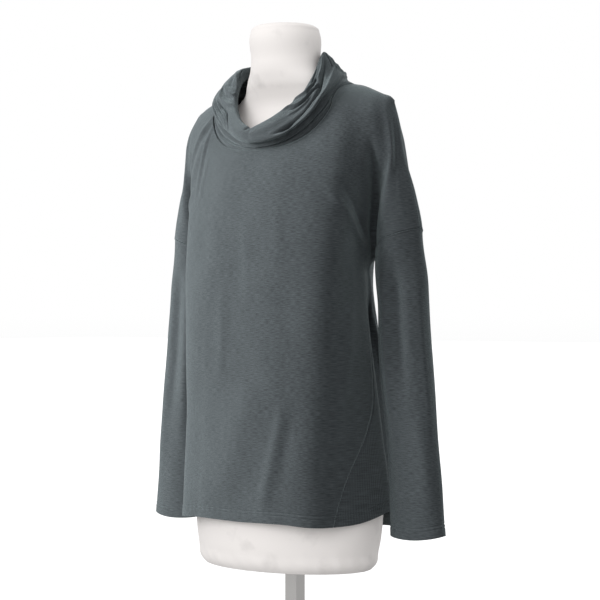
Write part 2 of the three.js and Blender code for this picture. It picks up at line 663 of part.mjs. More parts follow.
function sleeve(side) {
  const sheet = new Sheet(side < 0);
  let above = null;
  for (let row = 0; row <= SLEEVE_ROWS; row += 1) {
    const share = (row / SLEEVE_ROWS) ** 1.25;
    const ring = ARMHOLE.map((place) => {
      const top = armholePoint(place, side).z - SLEEVE_GAP;
      const z = THREE.MathUtils.lerp(top, lookUp(CUFF, "turn", "z", place.turn), share);
      const p = sleevePoint(place, z, side);
      if (row === 0) return sheet.add(p, CUT.level, armholeNormal(place.panel, side * place.u, false));
      return sheet.add(p, row === SLEEVE_ROWS ? CUT.level : CUT.none);
    });
    if (above) sheet.join(ring, above, true);
    above = ring;
  }
  return sheet.wall(CLOTH);
}

// The neckline as the edge points of the panels, from the centre front over one side to the centre back.
function halfNeckline(side) {
  const places = [
    ...NECK_COLUMNS.map((u) => ["front", u, rowHeight("front", u, NECK_SHARE)]),
    ...ROWS.shoulder.map((share) => ["front", U_NECK, rowHeight("front", U_NECK, share)]),
    ...NECK_COLUMNS.slice(0, -1).reverse().map((u) => ["back", u, rowHeight("back", u, 1)]),
  ];
  return places.map(([panel, u, z]) => bodyPoint("upper", panel, side * u, Math.min(z, NECK_TOP)));
}

// The collar's lower edge: each point of the neckline, moved up out of the cloth by a gap, with its
// direction.
function collarSeam() {
  const left = halfNeckline(1);
  const right = halfNeckline(-1).slice(1, -1).reverse();
  const ring = [...left, ...right];
  return ring.map((at, i) => {
    const before = ring[(i + ring.length - 1) % ring.length];
    const after = ring[(i + 1) % ring.length];
    const along = after.clone().sub(before).normalize();
    const inward = point(-at.x, COLLAR_AXIS_Y - at.y, 0).normalize();
    const away = inward.add(point(0, 0, 0.5)).addScaledVector(along, -inward.dot(along)).normalize();
    const seam = at.clone().addScaledVector(away, NECK_GAP);
    const turn = THREE.MathUtils.radToDeg(Math.atan2(at.x, COLLAR_AXIS_Y - at.y));
    return { seam, turn: (turn + 360) % 360 };
  });
}

// A point of the collar: v runs from its seam to the edge inside the rim.
const COLLAR_V = [0, 0.08, 0.16, 0.3, 0.46, 0.62, 0.78, 0.85, 1];
function collarPoint({ seam, turn }, v) {
  if (v === 0) return seam.clone();
  const row = Object.fromEntries(
    Object.keys(COLLAR[0]).map((name) => [name, lookUp(COLLAR, "turn", name, turn)]),
  );
  const seamR = Math.hypot(seam.x, seam.y - COLLAR_AXIS_Y);
  const radii = [seamR, (seamR + row.foldR) / 2, row.foldR, row.rollR, row.creaseR, row.swellR,
    row.rimR, row.rimR - COLLAR_TURN_IN, row.rimR - COLLAR_TURN_IN];
  const heights = [seam.z, (seam.z + row.foldZ) / 2, row.foldZ, row.rollZ, row.creaseZ, row.swellZ,
    row.rimZ, row.rimZ - COLLAR_TURN_IN - 1, row.tuckZ];
  const r = curveAt(COLLAR_V, radii, v);
  const angle = (turn * Math.PI) / 180;
  const p = point(r * Math.sin(angle), COLLAR_AXIS_Y - r * Math.cos(angle), curveAt(COLLAR_V, heights, v));
  return v < 0.3 ? offBody(p, COLLAR_LIFT * smooth(0, 0.08, v)) : p;
}

// Places and normals all over the body near the neck, to lift the collar off it.
const NEAR_NECK = ["front", "back"].flatMap((panel) => [-1, 1].flatMap((side) =>
  steps(0, U_VALLEY, 40).flatMap((u) => steps(0.5, 1, 40).map((t) => {
    const last = panel === "front" && u < U_NECK ? NECK_SHARE : 1;
    const z = rowHeight(panel, u, crowded(t) * last) - 0.3;
    const q = panel === "front" ? u : 4 - u;
    const normal = normalOf((a, b) => plainBody("upper", a, b, side), q, z, 0.01, 0.5, point(0, 0, z - 60));
    return { at: bodyPoint("upper", panel, side * u, z), normal };
  }))));

function offBody(p, lift) {
  let nearest = NEAR_NECK[0];
  for (const spot of NEAR_NECK) {
    if (spot.at.distanceToSquared(p) < nearest.at.distanceToSquared(p)) nearest = spot;
  }
  const height = p.clone().sub(nearest.at).dot(nearest.normal);
  const near = nearest.at.distanceTo(p) < 30;
  return near && height < lift ? p.addScaledVector(nearest.normal, lift - height) : p;
}

function collar() {
  const sheet = new Sheet();
  const seam = collarSeam();
  const rings = steps(0, 1, COLLAR_ROWS).map((v) => seam.map((place) => sheet.add(collarPoint(place, v))));
  rings.slice(1).forEach((ring, i) => sheet.join(rings[i], ring, true));
  return sheet.wall(CLOTH);
}

// The dress form: ovals with their own front and back, capped flat at both ends.
function formPoint(z, angle) {
  const row = rowAt(FORM, z);
  const middle = (row.front + row.back) / 2;
  const depth = (row.back - row.front) / 2;
  return point(row.half * Math.sin(angle), middle - depth * Math.cos(angle), z);
}

function loft(rings) {
  const vertices = rings.flat();
  const count = rings[0].length;
  const faces = [];
  for (let i = 0; i < rings.length - 1; i += 1) {
    for (let k = 0; k < count; k += 1) {
      const a = i * count + k;
      const b = i * count + ((k + 1) % count);
      faces.push([a, b, b + count], [a, b + count, a + count]);
    }
  }
  const centreOf = (ring) => ring.reduce((sum, p) => sum.add(p), point(0, 0, 0)).divideScalar(count);
  const bottom = vertices.push(centreOf(rings[0])) - 1;
  const top = vertices.push(centreOf(rings[rings.length - 1])) - 1;
  const last = (rings.length - 1) * count;
  for (let k = 0; k < count; k += 1) {
    const next = (k + 1) % count;
    faces.push([bottom, next, k], [top, last + k, last + next]);
  }
  return geometryOf(vertices, faces);
}

function solidOf(geometry) {
  const bare = geometry.clone();
  bare.deleteAttribute("normal");
  bare.deleteAttribute("uv");
  const merged = mergeVertices(bare, 1e-4);
  const { array } = merged.attributes.position;
  const triVerts = new Uint32Array(merged.index.array);
  return new wasm.Manifold(new wasm.Mesh({ numProp: 3, vertProperties: new Float32Array(array), triVerts }));
}

function geometryFrom(solid) {
  const mesh = solid.getMesh();
  const geometry = new THREE.BufferGeometry();
  const positions = [];
  for (let i = 0; i < mesh.numVert; i += 1) {
    positions.push(...mesh.vertProperties.slice(i * mesh.numProp, i * mesh.numProp + 3));
  }
  geometry.setAttribute("position", new THREE.Float32BufferAttribute(positions, 3));
  geometry.setIndex([...mesh.triVerts]);
  return geometry;
}

// A box by its size and its lowest face's height.
function boxAt(x, y, height, bottom) {
  return new THREE.BoxGeometry(x, y, height).translate(0, 0, bottom + height / 2);
}

const FORM_RINGS = [
  0, 5, 14, 28, 60, 100, 139, 199, 245, 289, 349, 409, 450, 489, 525, 560, 589, 615, 639, 660,
  680, 690, 698, 704, 714, 724, 735, 747, 764, 785, 805, 829, 836, FORM_HEIGHT,
];
function torso() {
  const rings = FORM_RINGS.map((z) =>
    steps(0, 2 * Math.PI, FORM_COLUMNS).slice(0, -1).map((angle) => formPoint(z, angle)));
  const socket = POST_SIDE + 2 * FIT;
  const hole = boxAt(socket, socket, SOCKET_DEPTH + FIT + 10, -10);
  return geometryFrom(solidOf(loft(rings)).subtract(solidOf(hole)));
}

// The post: a square tube with a pair of adjusting slots under the form.
function post() {
  const bottom = FOOT_THICKNESS + FIT;
  const height = FORM_UNDERSIDE + SOCKET_DEPTH - bottom;
  const outer = solidOf(boxAt(POST_SIDE, POST_SIDE, height, bottom));
  const bore = POST_SIDE - 2 * POST_WALL;
  let tube = outer.subtract(solidOf(boxAt(bore, bore, height + 2, bottom - 1)));
  for (const place of SLOT_PLACES) {
    const slot = boxAt(SLOT_WIDTH, POST_SIDE + 4, SLOT_HEIGHT, SLOT_TOP - SLOT_HEIGHT).translate(place, 0, 0);
    tube = tube.subtract(solidOf(slot));
  }
  return geometryFrom(tube);
}

// The foot: a round plate with rounded edge and a square boss that holds the post.
function foot() {
  const outline = [
    [0, 0], [FOOT_RADIUS - EDGE, 0], [FOOT_RADIUS, EDGE], [FOOT_RADIUS, FOOT_THICKNESS - EDGE],
    [FOOT_RADIUS - EDGE, FOOT_THICKNESS], [0, FOOT_THICKNESS],
  ].map(([x, y]) => new THREE.Vector2(x, y));
  const plate = new THREE.LatheGeometry(outline, FOOT_COLUMNS).rotateX(Math.PI / 2);
  const boss = boxAt(BOSS_SIDE, BOSS_SIDE, BOSS_HEIGHT, FOOT_THICKNESS - 1);
  const hole = boxAt(POST_SIDE + 2 * FIT, POST_SIDE + 2 * FIT, BOSS_HEIGHT + 2, FOOT_THICKNESS);
  return geometryFrom(solidOf(plate).add(solidOf(boss)).subtract(solidOf(hole)));
}

const knit = new THREE.MeshStandardMaterial({ color: 0x4b5154, roughness: 0.95, metalness: 0 });
const cover = new THREE.MeshStandardMaterial({ color: 0xe6e1de, roughness: 0.85, metalness: 0 });
const steel = new THREE.MeshStandardMaterial({ color: 0xb6b3b0, roughness: 0.4, metalness: 0.8 });

function named(name, geometry, material) {
  const mesh = new THREE.Mesh(geometry, material);
  mesh.name = name;
  return mesh;
}

const dressed = new THREE.Group();
dressed.position.z = FORM_UNDERSIDE;
dressed.add(
  named("front", bodyPanel("front"), knit),
  named("back", bodyPanel("back"), knit),
  named("sleeve_left", sleeve(1), knit),
  named("sleeve_right", sleeve(-1), knit),
  named("cowl_collar", collar(), knit),
  named("form_torso", torso(), cover),
);

const part = new THREE.Group();
part.add(dressed, named("form_post", post(), steel), named("form_foot", foot(), steel));

export default part;
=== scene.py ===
"""A cowl neck sweater in heathered jersey on a limbless dress form with a square post and a round foot.

Sizes in the tables are millimetres above the form's underside, as in the part's source, and meshes are in metres.
The front faces -Y and the wearer's left is +X.
"""

from __future__ import annotations

import logging
import math
from dataclasses import dataclass, field
from enum import Enum
from typing import Callable, Sequence

import bmesh
import bpy
import numpy as np
from bpy.types import Collection, Material, Node, NodeSocket, NodeTree, Object
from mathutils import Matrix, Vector

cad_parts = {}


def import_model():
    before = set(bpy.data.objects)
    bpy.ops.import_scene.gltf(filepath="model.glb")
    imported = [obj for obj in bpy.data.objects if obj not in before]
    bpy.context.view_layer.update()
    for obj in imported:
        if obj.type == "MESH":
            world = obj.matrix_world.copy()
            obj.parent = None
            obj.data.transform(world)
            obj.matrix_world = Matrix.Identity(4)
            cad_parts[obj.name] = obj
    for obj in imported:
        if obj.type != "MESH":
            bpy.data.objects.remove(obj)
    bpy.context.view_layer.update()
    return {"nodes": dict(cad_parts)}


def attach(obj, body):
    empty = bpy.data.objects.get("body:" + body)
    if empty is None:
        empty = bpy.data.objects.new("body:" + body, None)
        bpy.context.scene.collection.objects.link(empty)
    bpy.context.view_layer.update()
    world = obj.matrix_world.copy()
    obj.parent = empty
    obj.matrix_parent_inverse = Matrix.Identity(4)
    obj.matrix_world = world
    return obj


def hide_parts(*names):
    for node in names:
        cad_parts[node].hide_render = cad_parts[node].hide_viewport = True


logging.basicConfig(level=logging.INFO, format="%(message)s")
log = logging.getLogger("sweater")
Array = np.ndarray

MM = 0.001
FORM_UNDERSIDE = 200.0


def smooth(low: float, high: float, t: Array | float) -> Array:
    """Step from 0 at low to 1 at high with soft ends."""
    s = np.clip((np.asarray(t, float) - low) / (high - low), 0.0, 1.0)
    return s * s * (3 - 2 * s)


def bell(t: Array | float) -> Array:
    """Round hump, 1 at 0 and nearly 0 past 2."""
    return np.exp(-np.square(t))


def curve(knots: Sequence[float], values: Array, t: Array, corners: Array | None = None) -> Array:
    """Smooth curve through the values at the knots, for many places at once.

    Args:
        knots: Rising parameters of the values.
        values: The values, one for each knot, or one row of them for each place.
        t: The places asked for.
        corners: Strength of the crease at each knot, 1 for a sharp one.

    Returns:
        The curve's value at each place.
    """
    t = np.asarray(t, float)
    k = np.asarray(knots, float)
    v = np.asarray(values, float)
    gaps = np.diff(k)
    secant = np.diff(v, axis=-1) / gaps
    both = (secant[..., :-1] * gaps[1:] + secant[..., 1:] * gaps[:-1]) / (gaps[1:] + gaps[:-1])
    slopes = np.concatenate((secant[..., :1], both, secant[..., -1:]), axis=-1)
    crease = np.zeros(len(k)) if corners is None else corners
    leave = slopes[..., :-1] + (secant - slopes[..., :-1]) * crease[..., :-1]
    arrive = slopes[..., 1:] + (secant - slopes[..., 1:]) * crease[..., 1:]
    i = np.clip(np.searchsorted(k, t, side="left") - 1, 0, len(k) - 2)

    def pick(row: Array, at: Array) -> Array:
        """Entry of each place, from one shared row or from a row for each place."""
        return row[at] if row.ndim == 1 else np.take_along_axis(row, at[..., None], -1)[..., 0]

    base = pick(v, i)
    rise = pick(v, i + 1) - base
    span = gaps[i]
    a = pick(leave, i) * span
    b = pick(arrive, i) * span
    s = np.clip((t - k[i]) / span, 0.0, 1.0)
    return base + s * a + s * s * (3 * rise - 2 * a - b) + s**3 * (a + b - 2 * rise)


@dataclass(frozen=True)
class Table:
    """Rows of numbers under named columns, the first of which is the key."""

    columns: tuple[str, ...]
    rows: tuple[tuple[float, ...], ...]

    def column(self, name: str) -> Array:
        """All values of one column."""
        i = self.columns.index(name)
        return np.array([row[i] for row in self.rows], float)

    def at(self, name: str, key: Array | float) -> Array:
        """Value of a column at each key, on a smooth curve."""
        return curve(self.column(self.columns[0]), self.column(name), np.asarray(key, float))


def unit(vectors: Array) -> Array:
    """Vectors scaled to length 1."""
    return vectors / np.maximum(np.linalg.norm(vectors, axis=-1, keepdims=True), 1e-9)


def numbers(text: str) -> tuple[tuple[float, ...], ...]:
    """Rows of numbers from lines of text."""
    return tuple(tuple(float(x) for x in line.split()) for line in text.strip().splitlines())


def table(text: str) -> Table:
    """Table from a line of column names and lines of numbers."""
    head, body = text.split("\n", 1)
    return Table(tuple(head.split()), numbers(body))


def line_table(key: str, name: str, keys: Sequence[float], values: Sequence[float]) -> Table:
    """Table of one column of values and its key."""
    return Table((key, name), tuple(zip(map(float, keys), map(float, values))))


U_MID, U_CORNER, U_RIDGE, U_VALLEY, U_INNER, U_FACE, U_OUT = 0.35, 0.7, 1.0, 1.25, 1.5, 1.75, 2.0
U_NECK = 0.66
SEAM_STEP = 0.03
HALF_RING = 2 * (U_VALLEY + SEAM_STEP)
RING_PER_MM = 0.0055
UNDERARM = 477.0
SHOULDER_ROUND = 45.0
SHOULDER_ARC = 52.0
SHOULDER_OVER = 32.0
NECK_CORNER = 700.0
NECK_MM = 80.0
FAR = 99.0
HEM_SPREAD = ((0, 0.24, 1), (0, 0.06, 1))
SLEEVE_SPREAD = ((0, 0.18, 0.94, 1), (0, 0.055, 0.985, 1))
MERGE = 2e-5

FRONT = table(
    """z cf midX midY cornerX cornerY ridgeX ridgeY valleyX valleyY innerX innerY faceX faceY outX outY
30 -143 78 -139 143 -106 177 16 167 30 183 -29 216 -32 248 -8
139 -140 78 -136 141 -101 171 4 161 23 183 -29 216 -32 248 -8
199 -138 77 -133 140 -98 166 0 153 19 183 -29 216 -32 248 -8
290 -135 76 -130 141 -95 158 -6 142 12 183 -29 216 -32 248 -8
381 -133 75 -128 143 -95 151 -16 136 7 183 -29 216 -32 248 -8
442 -133 74 -127 144 -95 148 -25 139 4 183 -29 216 -32 246 -8
460 -132 73 -127 144 -95 147 -27 138 4 183 -29 216 -32 246 -8
477 -132 73 -126 144 -94 148 -28 150 3 183 -29 216 -32 246 -8
520 -130 72 -124 143 -92 150 -32 158 -3 184 -30 218 -33 243 -8
569 -122 72 -116 142 -88 156 -40 171 -15 190 -31 215 -30 232 -8
629 -101 70 -98 138 -80 165 -53 184 -38 198 -30 206 -21 214 -9
679 -76 66 -75 130 -68 159 -54 180 -42 191 -31 201 -20 205 -10
711 -64 62 -63 120 -58 150 -47 171 -38 184 -30 192 -22 196 -9
760 -58 58 -57 112 -52 142 -44 160 -34 175 -25 187 -15 196 -9"""
)
BACK = table(
    """z cb midX midY cornerX cornerY sideX sideY valleyX valleyY innerX innerY faceX faceY
30 128 80 123 141 87 167 54 167 36 184 22 216 24
139 117 79 112 134 78 160 47 161 29 184 22 216 24
199 111 77 106 128 72 151 42 153 25 184 22 216 24
290 104 73 98 118 62 142 34 142 18 184 22 216 24
381 100 70 92 113 56 137 29 138 13 184 22 216 24
442 98 68 88 108 51 126 26 139 10 184 22 216 24
460 98 68 88 109 51 124 26 138 9 184 22 216 24
477 97 69 88 112 53 139 27 150 9 184 22 216 24
520 97 71 89 122 60 150 36 161 15 186 23 220 22
569 98 72 92 130 66 160 42 174 23 192 21 216 13
629 97 72 92 132 70 164 45 182 28 191 20 203 7
679 92 70 88 130 68 157 44 172 29 183 18 195 6
711 86 66 82 122 64 148 42 166 28 180 16 191 4
760 76 62 72 114 56 143 38 161 25 175 13 187 3"""
)
SHOULDER = table(
    """u x y z
0 0 4 752
0.35 58 4 750
0.66 114 3 743
1 140 0 737
1.25 158 -3 730
1.5 174 -5 723
1.75 187 -7 718
2 196 -9 711"""
)
FRONT_NECK = line_table("u", "z", (0, 0.2, 0.35, 0.46, 0.56, U_NECK), (642, 645, 652, 664, 682, 704))
BACK_NECK = line_table("u", "z", (0, 0.2, 0.4, 0.55, U_NECK), (732, 733, 736, 740, 743))
HEM = line_table(
    "q", "z", (0, 0.35, 0.7, 0.82, 1, 1.28, 1.56, 1.86, 2.21, 2.56), (77, 78, 74.5, 76, 91, 96, 77, 61, 53, 50)
)
SLEEVE_SEAM = line_table("u", "z", (U_VALLEY, 1.38, U_INNER, U_FACE, U_OUT), (UNDERARM, 489, 499, 511, 520))
SIDE_SEAM = line_table(
    "z", "q", (30, 75, 149, 202, 251, 316, 375, 416, 477), (0.7, 0.73, 0.8, 0.88, 0.95, 0.99, 1.03, 1.09, 1.28)
)
SLEEVE = table(
    """z centreX centreY halfX halfY
60 238 -8 48 20
204 227.5 -7 44 22
304 217 -6 44.5 26
412 209.5 -6 42.5 26
470 204 -4 46 27
520 200 -4 49 28"""
)
CUFF = line_table("turn", "z", (0, 0.25, 0.5, 0.75, 1), (60, 56, 64, 60, 60))
SLEEVE_MERGE = 85.0
UNDERARM_TURN = 0.012
COLLAR_AXIS_Y = -15.0
COLLAR = table(
    """turn foldR foldZ rollR rollZ creaseR creaseZ swellR swellZ rimR rimZ tuckZ
0 87 645 99 651 101 660 99 667 93 673 650
22 95 648 106 655 104 668 100 680 87 691 670
38 103 659 113 667 105 685 98 697 84 708 684
52 114 683 121 693 108 708 97 718 83 727 712
62 116 709 121 718 106 729 92 741 80 748 738
76 109 732 111 741 98 752 86 764 72 775 766
90 101 748 101 756 91 767 81 780 66 794 782
105 96 752 94 760 86 770 76 782 61 796 783
130 91 755 90 762 82 770 73 781 58 796 775
155 84 753 86 760 78 769 71 780 57 795 773
180 82 751 85 759 78 768 71 779 58 793 771
205 86 752 90 760 82 769 74 780 59 791 770
230 97 755 102 762 92 770 83 780 65 790 770
255 113 756 120 762 109 768 100 777 80 788 770
270 120 752 126 758 114 764 105 774 86 784 766
278 122 744 128 751 118 758 109 769 87 780 760
289 122 720 129 729 121 738 112 750 87 763 742
306 104 684 113 694 111 705 104 716 85 728 708
322 91 667 101 676 102 688 98 698 84 707 684
340 86 652 96 660 101 670 99 679 87 689 666
360 87 645 99 651 101 660 99 667 93 673 650"""
)
COLLAR_ROUND = 0.62
COLLAR_CLOTH = 0.16
FORM_ROUND = 0.85
COLLAR_TURN_MM = 1.9
COLLAR_RUN_MM = 100.0


@dataclass(frozen=True)
class Crease:
    """A crease of the collar along a path of (turn, run) places, with its half width and height in millimetres."""

    width: float
    height: float
    path: tuple[tuple[float, float], ...]

    def rise(self, turn: Array, run: Array) -> Array:
        """How far the cloth stands out at each place, fading towards both ends of the path."""
        spots = np.array(self.path) * (COLLAR_TURN_MM, COLLAR_RUN_MM)
        steps = np.linalg.norm(np.diff(spots, axis=0), axis=-1)
        total, before = steps.sum(), 0.0
        nearest = np.full(turn.shape, 1e9)
        along = np.zeros(turn.shape)
        for (x1, y1), (x2, y2), step in zip(spots[:-1], spots[1:], steps):
            px, py = turn * COLLAR_TURN_MM - x1, run * COLLAR_RUN_MM - y1
            share = np.clip((px * (x2 - x1) + py * (y2 - y1)) / step**2, 0, 1)
            far = np.hypot(px - share * (x2 - x1), py - share * (y2 - y1))
            closer = far < nearest
            nearest = np.where(closer, far, nearest)
            along = np.where(closer, (before + share * step) / total, along)
            before += step
        fade = smooth(-0.05, 0.25, along) * (1 - smooth(0.75, 1.05, along))
        return self.height * fade * bell(nearest / self.width)


# Each row has the width, the height and the path's turns and runs.
CREASES = tuple(
    Crease(width, height, tuple(zip(path[::2], path[1::2])))
    for width, height, *path in numbers(
        """
2.7 -10 82 0.67 70 0.53 62 0.43 56 0.385 49 0.36 41 0.36 24 0.37
3.2 3 95 0.52 78 0.42 67 0.34 58 0.29 50 0.27 42 0.27
1.7 -3.5 72 0.25 62 0.22 54 0.2 46 0.2 38 0.2
1.5 -2.6 66 0.66 59 0.56 55 0.5
1.7 -9 66 0.62 59.5 0.63 54 0.62
1.7 -8 66 0.5 60.5 0.53 56 0.56
1.6 3.6 62 0.58 55 0.57 48 0.61 38 0.7 30 0.74
1.5 -3.6 60 0.55 53 0.54 46 0.58 38 0.64
1.5 3.2 61 0.66 55 0.68 47 0.76 41 0.8
1.5 2.8 58 0.5 52 0.47 44 0.49 36 0.56
1.7 -3.6 74 0.78 66 0.72 60 0.66
1.7 3.2 86 0.76 76 0.68 66 0.6
1.7 -3.6 92 0.74 89 0.6 86 0.5
1.8 2.4 97 0.7 94 0.56 90 0.42
1.7 -3 100 0.66 97 0.5 95 0.38
1.7 2 106 0.6 101 0.44 98 0.3
2.2 -2.6 120 0.7 112 0.5 104 0.3
2.4 2.2 134 0.66 122 0.46 110 0.28
2.6 -3.2 170 0.5 150 0.44 130 0.4 116 0.42
1.6 -3 278 0.8 284.5 0.81 289 0.87
1.6 1.8 280 0.74 288 0.75 295 0.83
1.6 -3.2 284 0.7 292 0.71 298 0.79
1.5 2.2 286 0.64 296 0.68 302 0.745 299 0.84
1.6 -3.4 284 0.6 291 0.62 298 0.67 306 0.74
1.6 2.6 288 0.56 297 0.6 308.5 0.694 317 0.77
1.7 -3.6 296 0.54 309.5 0.638 318 0.64 325 0.56 328.5 0.45 328 0.34
1.6 2 292 0.48 304 0.55 314 0.58 322 0.53 325 0.42
1.6 -3.2 290 0.42 302 0.5 312 0.54 320 0.48 324 0.36
1.6 1.8 290 0.36 302 0.44 312 0.46 318 0.38
1.7 -2.6 286 0.3 300 0.38 312 0.38 320 0.27
2.2 2.4 240 0.6 256 0.58 270 0.66 280 0.72
2.2 -3 236 0.5 254 0.48 268 0.56 282 0.62
2.4 -2.6 214 0.46 232 0.4 252 0.36 272 0.44
2.4 2 190 0.58 214 0.56 236 0.62
2 -2.4 354 0.62 357 0.72 360 0.82
5 -4.5 -80 0.19 0 0.2 50 0.2 76 0.2
5 -4.5 284 0.19 310 0.2 360 0.2 440 0.2
1.9 -6 -70 0.07 -40 0.075 0 0.08 40 0.075 70 0.07 100 0.07
1.9 -6 290 0.07 320 0.075 360 0.08 400 0.075 430 0.07"""
    )
)
COLLAR_V = (0, 0.08, 0.16, 0.3, 0.46, 0.62, 0.78, 0.85, 1)
FORM = table(
    """z half front back
0 146 -117 80
5 151 -121 84
28 157 -127 90
60 162 -130 94
139 159 -128 98
199 145 -124 92
289 124 -114 74
349 112 -107 62
409 116 -110 66
489 126 -118 78
549 134 -121.7 84
589 142 -111 86
639 158 -88 84
672 168 -70 78
690 170 -58 68
704 158 -50 58
714 134 -48 48
724 106 -50 38
735 85 -56 32
747 75 -64 30
758 68 -69 29.5
766 62 -72 29
775 58 -74 29
785 56 -75 29
829 54 -79 29
836 51 -76 26
839 46 -71 21"""
)


class Panel(Enum):
    """The two body panels."""

    FRONT = "front"
    BACK = "back"


@dataclass(frozen=True)
class Fold:
    """A soft ridge or trough of the body from (u1, z1) down to (u2, z2).

    Width is in u and height in millimetres, below 0 for a trough.
    """

    u1: float
    z1: float
    u2: float
    z2: float
    width: float
    height: float

    def rise(self, u: Array, z: Array) -> Array:
        """How far the cloth stands out at each place."""
        along = (self.z1 - z) / (self.z1 - self.z2)
        centre = self.u1 + (self.u2 - self.u1) * np.clip(along, 0, 1)
        fade = smooth(-0.05, 0.25, along) * (1 - smooth(0.75, 1.1, along))
        return self.height * fade * bell((u - centre) / self.width)






def folds(text: str) -> tuple[Fold, ...]:
    """Folds of one panel from lines of text."""
    return tuple(Fold(*row) for row in numbers(text))


# Each row has u1, z1, u2, z2, the width and the height.
FOLDS = {
    Panel.FRONT: folds(
        """
-0.66 706 -0.88 590 0.05 5
-0.6 680 -0.72 580 0.06 3
0.98 640 0.72 470 0.16 4
-0.42 470 -0.5 250 0.16 4
0.12 300 -0.12 110 0.16 5
0.5 560 0.62 330 0.2 3
-0.1 600 -0.05 400 0.2 -2
1.62 700 1.6 520 0.1 5
-1.62 700 -1.6 520 0.1 5
-0.6 700 -0.56 575 0.016 1.3
-0.585 690 -0.53 590 0.014 -0.8
-0.5 640 -0.5 560 0.016 1
1.17 655 1.22 470 0.07 -8
-1.17 655 -1.22 470 0.07 -8
0.6 590 1.06 486 0.045 2.6
0.74 592 1.12 500 0.04 -2.2
-0.6 590 -1.06 486 0.045 2.4
-0.18 440 -0.18 285 0.05 1.4
0.38 265 0.2 95 0.05 2.6
0.46 250 0.3 90 0.06 -1
0.86 420 0.7 150 0.04 1.8
0.3 560 0.34 470 0.06 1.2
0.02 540 0.06 400 0.05 0.9
1.8 690 1.78 535 0.04 0.7"""
    ),
    Panel.BACK: folds(
        """
0.5 600 0.62 90 0.18 7
0.12 560 0.2 80 0.16 -6
-0.3 590 -0.34 90 0.18 7
-0.75 560 -0.8 110 0.14 -5
1.6 690 1.6 520 0.12 5
-1.6 690 -1.6 520 0.12 5
1.17 655 1.22 470 0.07 -6
-1.17 655 -1.22 470 0.07 -6
1.4 440 0.86 255 0.05 4
-1.3 440 -0.84 240 0.05 3
0.6 700 0.54 590 0.03 2.2
-0.56 700 -0.5 585 0.03 2.2
0.62 585 1.06 490 0.045 2.4
-0.62 585 -1.06 490 0.045 2.4
0.3 330 0.38 100 0.04 2
-0.1 420 -0.16 160 0.05 1.6"""
    ),
}


@dataclass(frozen=True)
class SleeveFold:
    """A ridge or trough down a sleeve, at a turn round its oval."""

    side: int
    turn: float
    z1: float
    z2: float
    width: float
    height: float

    def rise(self, turn: Array, z: Array) -> Array:
        """How far the cloth stands out at each place."""
        along = (self.z1 - z) / (self.z1 - self.z2)
        fade = smooth(-0.05, 0.3, along) * (1 - smooth(0.6, 1.15, along))
        return self.height * fade * bell((turn - self.turn) / self.width)


# Each row has the side, the turn, z1, z2, the width and the height.
SLEEVE_FOLDS = tuple(
    SleeveFold(*row)
    for row in numbers(
        """
1 0.17 520 200 0.035 4
1 0.27 500 260 0.045 -7
1 0.72 500 150 0.05 -6
1 0.36 260 90 0.05 3
1 0.09 430 130 0.022 1.6
1 0.43 440 160 0.03 1.4
1 0.6 470 210 0.03 1.8
1 0.85 420 140 0.03 1.6
-1 0.2 500 180 0.04 4
-1 0.1 420 150 0.022 1.6
-1 0.45 430 170 0.03 1.6
-1 0.6 460 200 0.03 1.6
-1 0.86 420 150 0.03 1.6
-1 0.3 480 220 0.05 -6
-1 0.7 500 120 0.05 -6
-1 0.38 300 100 0.05 3"""
    )
)


@dataclass(frozen=True)
class Sewing:
    """Small relief of seams and hems, in millimetres."""

    ridge: float = 1.0
    ridge_width: float = 1.7
    slit: float = 0.8
    slit_width: float = 0.6
    hem_depth: float = 15.0
    hem_step: float = 0.5
    needle_rows: tuple[float, float] = (12.6, 17.3)
    needle_width: float = 1.1
    needle_depth: float = 0.8
    pucker: float = 0.12
    pucker_length: float = 9.0
    pucker_reach: float = 6.0
    neck: float = 0.8
    shoulder: float = 0.7
    armhole: float = 1.5
    side: float = 1.3

    def seam(self, distance: Array, scale: float = 1.0) -> Array:
        """Raised seam with a thin slit in its middle, by distance from the seam."""
        return scale * (self.ridge * bell(distance / self.ridge_width) - self.slit * bell(distance / self.slit_width))

    def hem(self, above: Array, arc: Array) -> Array:
        """Turned hem with two rows of needlework and their slight puckers.

        Args:
            above: Distance above the edge.
            arc: Distance along the edge.

        Returns:
            How far the cloth stands out.
        """
        band = self.hem_step * (1 - smooth(self.hem_depth, self.hem_depth + 3, above))
        rows = sum(bell((above - row) / self.needle_width) for row in self.needle_rows)
        waves = np.sin(arc * math.tau / self.pucker_length)
        pucker = self.pucker * waves * bell((above - self.hem_depth) / self.pucker_reach)
        return band - self.needle_depth * rows + pucker


SEWING = Sewing()


def unevenness(p: Array) -> Array:
    """Slight unevenness of hanging cloth at points in millimetres."""
    x, y, z = p[..., 0], p[..., 1], p[..., 2]
    slow = np.sin(x / 19 + 1.4 * np.sin(z / 47)) * np.sin(z / 61 + y / 27)
    quick = np.sin(z / 21 + x / 37) * np.sin(x / 11 + y / 17 + z / 83)
    return 0.55 * slow + 0.25 * quick


